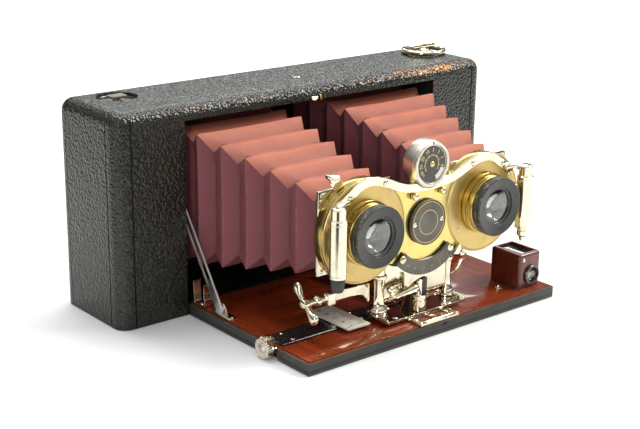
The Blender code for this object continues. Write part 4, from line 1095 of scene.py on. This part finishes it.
def lens_sets():
    back, front = -span("lens_barrel_right")[1].y, -RING_FRONT
    ring_back = -span("lens_ring_right")[1].y
    barrel = [(15.0, ring_back - 0.3), (15.0, 121.2), (15.25, 121.0), (15.4, 120.8), (15.4, 119.6),
              (15.28, 119.5),
              (15.28, 119.3), (15.4, 119.2), (15.4, 118.4), (16.1, 118.2), (16.2, 118.0), (16.2, 117.1),
              (16.08, 117.0), (16.08, 116.8), (16.2, 116.7), (16.2, back), (9.2, back),
              (9.2, ring_back - 0.3)]
    ring = [(10.3, front - 0.9), (14.4, front - 0.1), (14.8, front), (15.2, front - 0.15),
            (15.5, front - 0.6),
            (15.5, front - 2.0), (15.25, front - 2.2), (15.25, front - 2.5), (15.5, front - 2.7),
            (15.5, ring_back), (8.9, ring_back), (8.9, front - 2.1), (9.1, front - 1.9), (10.0, front - 1.8),
            (10.2, front - 1.2)]
    for side, name in SIDES:
        place = (side * LENS.x, 0, LENS.z)
        lathe("barrel_" + name, place, "-Y", barrel, BRASS, "front_standard", ["lens_barrel_" + name],
              steps=108)
        lathe("front_ring_" + name, place, "-Y", ring, RING_BLACK, "front_standard", ["lens_ring_" + name],
              steps=108)
        dome = [(8.8 * i / 12, front - 1.2 - (1 - math.cos(math.asin(8.8 * i / 12 / 34.0))) * 34.0)
                for i in range(13)]
        back_dome = [(8.8 * i / 8, 119.8 + (1 - math.cos(math.asin(8.8 * i / 8 / 60.0))) * 60.0)
                     for i in range(8, -1, -1)]
        lathe("front_lens_" + name, place, "-Y", dome + back_dome, GLASS, "front_standard", ["lens_" + name],
              steps=72)
        stop = [(9.1, 117.9), (9.1, 117.1), (3.6, 117.1), (3.6, 117.5), (8.4, 117.6), (8.6, 117.9)]
        lathe("iris_" + name, place, "-Y", stop, BLACK, "front_standard", steps=64)
        keep_node("shutter_blade_" + name, INSIDE, 0.1)


def name_disc():
    front = -span("name_disc")[0].y
    back = -span("name_disc")[1].y
    profile = [(0, front - 0.35), (11.0, front - 0.35), (11.2, front), (11.6, front), (11.8, front - 0.2),
               (11.8, back), (0, back)]
    lathe("blank_disc", (HUB.x, 0, HUB.z), "-Y", profile, SLATE, "front_standard", ["name_disc"], steps=96)
    for label, radius in (("outer", 10.5), ("inner", 6.2)):
        line = [(radius, front - 0.2), (radius + 0.22, front - 0.2), (radius + 0.22, front - 0.5),
                (radius, front - 0.5)]
        lathe("disc_line_" + label, (HUB.x, 0, HUB.z), "-Y", line, GOLD_INK, "front_standard", steps=96)
    for side, name in SIDES:
        x = side * 9.3
        screw("disc_screw_" + name, (HUB.x + x, -front + 0.35, HUB.z), "-Y", 1.25,
              20 + 6 * x,
              "front_standard")


def aperture():
    low, high = span("aperture_scale")
    band = arc((0, HUB.z), 27.5, 222, 318, 60) + arc((0, HUB.z), 20.0, 318, 222, 60)
    plate("crescent_scale", band, "XZ", low.y, high.y, SLATE, "front_standard", ["aperture_scale"], 0.25)
    marks = []
    for angle in (236, 250, 264, 278, 292, 306):
        a = math.radians(angle)
        centre = (26.3 * math.cos(a), low.y, HUB.z + 26.3 * math.sin(a))
        marks.append((centre, 1.2, 0.3, angle + 90, "-Y"))
    ticks("aperture_ticks", marks, WHITE_INK, "front_standard")
    for number, angle in zip(("128", "64", "32", "16", "8", "4"), (236, 250, 264, 278, 292, 306)):
        a = math.radians(angle)
        figure(f"aperture_figure_{number}", number, 2.0,
               (24.2 * math.cos(a), low.y, HUB.z + 24.2 * math.sin(a)),
               angle + 90, WHITE_INK, "front_standard")
    for angle in (225.5, 314.5):
        a = math.radians(angle)
        screw(f"crescent_screw_{angle:.0f}", (23.6 * math.cos(a), low.y, HUB.z + 23.6 * math.sin(a)), "-Y",
              2.1,
              angle, "front_standard")
    keep_node("aperture_pointer", NICKEL, 0.2)


def speed_dial():
    f, b = -DIAL_FRONT, -span("speed_dial")[1].y
    rim = [(0, f - 1.0), (9.3, f - 1.0), (9.6, f - 0.9), (9.9, f - 0.1), (10.3, f), (11.2, f),
           (11.6, f - 0.25),
           (11.8, f - 0.8), (11.8, f - 1.4), (11.55, f - 1.6), (11.55, f - 2.0), (11.8, f - 2.2),
           (11.8, b + 0.5),
           (11.5, b), (0, b)]
    lathe("dial_drum", (DIAL.x, 0, DIAL.z), "-Y", rim, WORN_NICKEL, "speed_dial", ["speed_dial"], steps=120)
    y = DIAL_FRONT + 1.0
    face = arc((DIAL.x, DIAL.z), 9.3, 0, 354, 59)
    plate("dial_face", face, "XZ", y - 0.2, y + 0.1, BLACK, "speed_dial", bevel=0.05)
    sector = arc((DIAL.x, DIAL.z), 9.1, 292, 340, 16) + arc((DIAL.x, DIAL.z), 6.6, 340, 292, 16)
    plate("dial_sector", sector, "XZ", y - 0.27, y - 0.15, CREAM, "speed_dial", bevel=0.03)
    marks = []
    for i, text in enumerate(("100", "50", "25", "10", "5", "2", "1", "0")):
        angle = 215 - i * 32.5
        a = math.radians(angle)
        figure(f"dial_figure_{text}", text, 2.5, (DIAL.x + 7.3 * math.cos(a), y - 0.22,
                                                  DIAL.z + 7.3 * math.sin(a)),
               angle - 90, GOLD_INK, "speed_dial")
        for part in range(4):
            spoke = math.radians(angle - 8.1 * part)
            centre = (DIAL.x + 4.7 * math.cos(spoke), y - 0.22, DIAL.z + 4.7 * math.sin(spoke))
            marks.append((centre, 0.5 if part else 1.1, 0.3, angle - 8.1 * part - 90, "-Y"))
    ticks("dial_ticks", marks, GOLD_INK, "speed_dial")
    hub = [(0, 1.2), (0.8, 1.2), (1.2, 1.0), (1.5, 0.6), (1.6, 0.0), (0, 0.0)]
    lathe("dial_hub", (DIAL.x, y - 0.1, DIAL.z), "-Y", hub, BRIGHT, "speed_dial")
    arrow = [(-0.9, 1.5), (0.0, 3.1), (0.9, 1.5), (0.3, 1.5), (0.3, 0.2), (-0.3, 0.2), (-0.3, 1.5)]
    tip = DIAL.z + 13.0
    plate("index_arrow", [(DIAL.x + a, tip - 5.2 + b * 0.62 + 2.2) for a, b in arrow], "XZ",
          DIAL_FRONT - 0.12,
          DIAL_FRONT + 0.05, BLACK_INK, "speed_dial", bevel=0.0)


def top_strap():
    """The nickel strap over both housings, its screws and the arms to the cylinder caps."""
    low, high = span("top_band")
    line = [(-60.5, 73.5), (-57.0, 76.0), (-50.5, 79.8), (-46.0, 82.6), (-41.0, 84.1), (-35.0, 83.8),
            (-28.0, 81.6), (-20.0, 78.2), (-13.0, 76.4), (0.0, 75.5)]
    line += [(-x, z) for x, z in reversed(line[:-1])]
    strap = plate("top_strap", ribbon_outline(smooth_path(line, 6), 4.4), "XZ", low.y + 0.9, high.y, NICKEL,
                  "front_standard", ["top_band"], 0.3)
    holes = [bore(DIAL_CLEAR, 125, 100, 96, placed((0, 0, DIAL.z), "-Y"))]
    for side, _ in SIDES:
        holes.append(bore(17, 125, 100, 96, placed((side * LENS.x, 0, LENS.z), "-Y")))
    carve(strap, *holes)
    for side, name in SIDES:
        for i, (x, z) in enumerate(((-52.6, 78.5), (-30.0, 82.2))):
            screw(f"strap_screw_{name}_{i + 1}", (-side * x, low.y + 0.9, z), "-Y", 1.7, 40 + 63 * i,
                  "front_standard")
        cylinder = middle("cylinder_" + name)
        rod("link_arm_" + name, [(side * 54.5, low.y + 0.3, 76.4), (side * 58.0, low.y - 0.6, 76.6),
                                 (side * 61.6, low.y - 1.6, 76.0), (side * 63.6, cylinder.y + 1.6, 74.6)],
            1.5, NICKEL, "front_standard")
    for side, name in SIDES:
        x = side * 9.6
        lathe("standoff_" + name, (x, CASE_FRONT, 71.3), "-Y",
              [(0, 2.3), (1.5, 2.2), (1.8, 1.8), (1.8, 0), (0, 0)], BRIGHT, "front_standard", (), 0.1,
              steps=40)
        screw("standoff_screw_" + name, (x, CASE_FRONT - 2.3, 71.3), "-Y", 1.8,
              30 + 5 * x,
              "front_standard")


def cylinders():
    body = [(0, 77.3), (2.6, 77.3), (3.2, 77.0), (3.6, 76.4), (3.6, 71.8), (3.9, 71.4), (4.3, 71.1),
            (4.3, 69.9),
            (4.1, 69.7), (4.1, 69.4), (4.3, 69.2), (4.3, 44.6), (4.1, 44.4), (4.1, 44.0), (4.3, 43.8),
            (4.2, 42.9), (3.9, 42.6)]
    tip = [(2.6, 42.6), (2.6, 41.4), (2.9, 41.0), (2.9, 38.8), (2.6, 38.4), (1.7, 37.7), (1.4, 35.6),
           (1.0, 35.4),
           (0, 35.4)]
    at = middle("hose_nozzle")
    nozzle = [(0, 42.3), (3.2, 42.3), (3.45, 41.9), (3.45, 40.6), (3.25, 40.3), (3.3, 38.6), (3.1, 38.2),
              (2.9, 36.4), (2.4, 35.8), (1.2, 35.8), (1.2, 37.0), (0, 37.0)]
    lathe("rubber_nozzle", (at.x, at.y, 0), "Z", nozzle, RUBBER, "front_standard", ["hose_nozzle"])
    for side, name in SIDES:
        at_x, at_y = side * abs(at.x), at.y
        profile = body + (tip if side > 0 else [(0, 42.6)])
        lathe("air_cylinder_" + name, (at_x, at_y, 0), "Z", profile, NICKEL, "front_standard",
              ["cylinder_" + name], steps=80)
        low, high = sorted((side * 59.8, at_x))
        for i, z in enumerate((50.5, 63.5)):
            block(f"cylinder_clip_{name}_{i + 1}", (low, at_y + 2.2, z), (high, CASE_FRONT - 0.3, z + 2.6),
                  NICKEL, "front_standard", (), 0.5, 4)
        rod("side_rod_" + name, [(side * 59.3, at_y + 3.6, 49.0), (side * 59.3, at_y + 3.6, 67.5)], 0.7,
            NICKEL,
            "front_standard")
    keep_node("release_lever", NICKEL, 0.25)
    low, high = span("release_lever")
    block("finger_tab", (low.x + 0.1, low.y - 2.2, high.z - 2.4), (low.x + 5.1, high.y + 2.2, high.z - 0.3),
          NICKEL,
          "release_lever", (), 0.7, 5)


# ---------------------------------------------------------------- bellows

PLEATS, FOLD_SIDE, FOLD_TOP, LEATHER_THICK = 8, 4.1, 3.1, 0.8
STEPS = 10                     # rings along each pleat
REAR_RUN = 10.0                # length of the part that the focusing slide squashes
# Share of the way from rear to front, with the outer edge, inner edge, bottom and top there
STATIONS = ((0.0, (83.0, 13.4, 25.6, 100.4)), (0.3685, (82.8, 15.0, 27.3, 97.7)),
            (1.0, (60.6, 18.8, 38.0, 78.6)))


def bellows_edges(share):
    for (s0, first), (s1, second) in zip(STATIONS, STATIONS[1:]):
        if share <= s1:
            t = (share - s0) / (s1 - s0)
            return [a + (b - a) * t for a, b in zip(first, second)]
    return list(STATIONS[-1][1])


def fold_depth(share):
    """0 at a ridge and 1 at a valley: a zigzag with slightly rounded turns."""
    phase = (share * PLEATS) % 1.0
    zigzag = 1 - abs(2 * phase - 1)
    soft = (1 - math.cos(2 * math.pi * share * PLEATS)) / 2
    return 0.96 * zigzag + 0.04 * soft


def corner_points(deep):
    """Insets round a mitred corner, (from the side, from the end): sharp on a ridge, folded in a valley."""
    ridge = ((0.0, 3.0), (0.25, 0.25), (3.0, 0.0))
    valley = ((FOLD_SIDE, 12.0), (3.2, 6.8), (8.5, FOLD_TOP))
    return [(a[0] + (b[0] - a[0]) * deep, a[1] + (b[1] - a[1]) * deep) for a, b in zip(ridge, valley)]


def bellows_section(side, share, y, inset):
    """One ring of the tube: four sides that bow a little, joined by folded corners."""
    out, inward, low, high = bellows_edges(share)
    deep = fold_depth(share)
    near_x, far_x = sorted((side * (out - inset), side * (inward + inset)))
    low, high = low + inset, high - inset
    bottom_left, bottom_right, top_right, top_left = (
        [(x + turn_x * a, z + turn_z * b) for a, b in corner_points(deep)]
        for x, z, turn_x, turn_z in ((near_x, low, 1, 1), (far_x, low, -1, 1), (far_x, high, -1, -1),
                                     (near_x, high, 1, -1)))
    runs = ((bottom_left[2], bottom_right[2], (0, -1)), (bottom_right[0], top_right[0], (1, 0)),
            (top_right[2], top_left[2], (0, 1)), (top_left[0], bottom_left[0], (-1, 0)))
    turns = (bottom_right[1], top_right[1], top_left[1], bottom_left[1])
    ring = []
    for (start, stop, out_way), corner in zip(runs, turns):
        for t in (0.0, 0.08, 0.2, 0.35, 0.5, 0.65, 0.8, 0.92, 1.0):
            x, z = start[0] + (stop[0] - start[0]) * t, start[1] + (stop[1] - start[1]) * t
            bow = math.sin(math.pi * t)
            sag = bow * (0.3 * deep - 0.5 * (1 - deep))
            wave = noise.noise(Vector((x * 0.06, y * 0.09, z * 0.06 + side * 9.0))) * 0.5 * bow
            ring.append(Vector((x + out_way[0] * (sag + wave), y, z + out_way[1] * (sag + wave))))
        ring.append(Vector((corner[0], y, corner[1])))
    return ring


def bellows_piece(name, side, first, last, body, replaces=()):
    """A run of the pleated tube between two shares of its length, open at both ends."""
    low, high = span("bellows_left")
    total = high.y - low.y
    marks = [k / (PLEATS * STEPS) for k in range(PLEATS * STEPS + 1)]
    shares = [first] + [share for share in marks if first + 1e-4 < share < last - 1e-4] + [last]
    bm = bmesh.new()
    ridge = bm.verts.layers.float.new("ridge")
    rings = {0.0: [], LEATHER_THICK: []}
    for share in shares:
        y = high.y - total * share
        for inset, made in rings.items():
            ring = [bm.verts.new(p) for p in bellows_section(side, share, y, inset)]
            for vert in ring:
                vert[ridge] = 1.0 - fold_depth(share)
            made.append(ring)
    outer, inner = rings[0.0], rings[LEATHER_THICK]
    count = len(outer[0])
    for tube in (outer, inner):
        for one, other in zip(tube, tube[1:]):
            for k in range(count):
                bm.faces.new((one[k], one[(k + 1) % count], other[(k + 1) % count], other[k]))
    for one, other in ((outer[0], inner[0]), (outer[-1], inner[-1])):
        for k in range(count):
            bm.faces.new((one[k], one[(k + 1) % count], other[(k + 1) % count], other[k]))
    piece = add_piece(name, bm, RED, body, replaces, smooth=40.0)
    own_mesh(piece)


def bellows():
    low, high = span("bellows_left")
    total = high.y - low.y
    split = REAR_RUN / total
    for side, name in SIDES:
        bellows_piece("bellows_rear_" + name, side, 0.0, split, "camera_body")
        bellows_piece("bellows_front_" + name, side, split, 1.0, "focus_track",
                      ["bellows_" + name])


# ---------------------------------------------------------------- floor, light and camera

TOWARDS_CAMERA = Vector((-0.62, -0.74, 0.26)).normalized()


def floor_material():
    """Pale paper: white to the camera, duller to the object, with a dark place where the viewer stands."""
    material = bpy.data.materials.new("pale_paper")
    n = Nodes(material)
    ahead = Vector((TOWARDS_CAMERA.x, TOWARDS_CAMERA.y, 0)).normalized()
    out = n.add("VectorMath", {0: n.place, 1: ahead}, operation="DOT_PRODUCT").outputs["Value"]
    aside = n.add("VectorMath", {0: n.place, 1: (ahead.y, -ahead.x, 0)},
                  operation="DOT_PRODUCT").outputs["Value"]
    wide = n.math("ADD", 0.04, n.math("MULTIPLY", n.math("SUBTRACT", out, 0.26), 0.4))
    beside = n.math("SUBTRACT", wide, n.math("ABSOLUTE", n.math("SUBTRACT", aside, 0.03)))
    shade = n.math("MULTIPLY", n.ramp(out, 0.22, 0.34), n.ramp(beside, -0.02, 0.02))
    seen = n.mix(shade, (0.78, 0.78, 0.77), (0.03, 0.03, 0.03))
    camera_ray = n.add("LightPath").outputs["Is Camera Ray"]
    n.finish(base_color=n.mix(camera_ray, seen, (0.85, 0.87, 0.88)), roughness=0.9, specular_ior_level=0.2,
             emission_color=(1.0, 1.0, 1.0), emission_strength=n.math("MULTIPLY", camera_ray, 0.02))
    return material


def floor():
    bm = bmesh.new()
    bmesh.ops.create_grid(bm, x_segments=8, y_segments=8, size=8.0)
    mesh = bpy.data.meshes.new("floor")
    bm.to_mesh(mesh)
    bm.free()
    mesh.materials.append(floor_material())
    obj = bpy.data.objects.new("floor", mesh)
    obj.location.z = -0.0002
    bpy.context.scene.collection.objects.link(obj)


def room():
    """White to the camera; to the object, dark at eye level and bright overhead."""
    world = bpy.data.worlds.new("room")
    world.use_nodes = True
    tree = world.node_tree
    shown = tree.nodes["Background"]
    shown.inputs["Color"].default_value = (1.0, 1.0, 1.0, 1.0)
    shown.inputs["Strength"].default_value = 1.0
    place = tree.nodes.new("ShaderNodeTexCoord")
    height = tree.nodes.new("ShaderNodeSeparateXYZ")
    tree.links.new(place.outputs["Generated"], height.inputs[0])
    shade = tree.nodes.new("ShaderNodeValToRGB")
    stops = shade.color_ramp.elements
    stops[0].position, stops[0].color = 0.05, (0.10, 0.10, 0.10, 1.0)
    stops[1].position, stops[1].color = 0.85, (1.0, 0.99, 0.97, 1.0)
    for position, value in ((0.34, 0.24), (0.55, 0.75)):
        stops.new(position).color = (value, value * 1.01, value * 1.03, 1.0)
    tree.links.new(height.outputs["Z"], shade.inputs["Fac"])
    seen = tree.nodes.new("ShaderNodeBackground")
    seen.inputs["Strength"].default_value = 0.85
    tree.links.new(shade.outputs["Color"], seen.inputs["Color"])
    rays = tree.nodes.new("ShaderNodeLightPath")
    choose = tree.nodes.new("ShaderNodeMixShader")
    tree.links.new(rays.outputs["Is Camera Ray"], choose.inputs[0])
    tree.links.new(seen.outputs[0], choose.inputs[1])
    tree.links.new(shown.outputs[0], choose.inputs[2])
    tree.links.new(choose.outputs[0], tree.nodes["World Output"].inputs["Surface"])
    bpy.context.scene.world = world
    bpy.context.scene.view_settings.view_transform = "Standard"


def lamps():
    settings = (("key", (1.05, -0.60, 1.20), (0.7, 0.7), 24.0, (1.0, 0.96, 0.90)),
                ("overhead", (0.2, 0.55, 1.6), (1.5, 1.0), 21.0, (1.0, 0.98, 0.95)),
                ("back_strip", (1.05, 1.35, 0.80), (1.2, 0.35), 5.0, (0.95, 1.0, 0.96)),
                ("front_left", (-1.35, -1.05, 0.55), (0.35, 0.8), 6.5, (0.95, 0.97, 1.0)))
    aim = Vector((0, -0.06, 0.05))
    for name, place, size, power, colour in settings:
        lamp = bpy.data.lights.new(name, "AREA")
        lamp.shape, lamp.size, lamp.size_y = "RECTANGLE", *size
        lamp.energy, lamp.color = power, colour
        obj = bpy.data.objects.new(name, lamp)
        obj.location = place
        obj.rotation_euler = (aim - Vector(place)).to_track_quat("-Z", "Y").to_euler()
        bpy.context.scene.collection.objects.link(obj)


def camera():
    """The viewing angle: from the front left, a little above, with a long lens."""
    place = Vector((-0.4426, -0.5646, 0.2569))
    yaw, pitch, roll = 0.6926, 0.3043, 0.0124
    ahead = Vector((math.sin(yaw) * math.cos(pitch), math.cos(yaw) * math.cos(pitch), -math.sin(pitch)))
    right = ahead.cross(Vector((0, 0, 1))).normalized()
    up = right.cross(ahead)
    right, up = (right * math.cos(roll) + up * math.sin(roll), -right * math.sin(roll) + up * math.cos(roll))
    lens = bpy.data.cameras.new("camera")
    lens.lens, lens.sensor_width = 73.85, 36.0
    lens.clip_start, lens.clip_end = 0.01, 50.0
    obj = bpy.data.objects.new("camera", lens)
    columns = Matrix((right, up, -ahead)).transposed()
    obj.matrix_world = Matrix.Translation(place) @ columns.to_4x4()
    bpy.context.scene.collection.objects.link(obj)
    bpy.context.scene.camera = obj


# ---------------------------------------------------------------- build

camera_body()
back()
film_path()
top_fittings()
keeper()
bed()
distance_marks()
struts()
finder()
bed_stud()
track()
carriage()
rail_catch()
clamp()
case_panel()
case_drums()
lens_sets()
name_disc()
aperture()
speed_dial()
top_strap()
cylinders()
bellows()
floor()
room()
lamps()
camera()

bpy.context.view_layer.update()
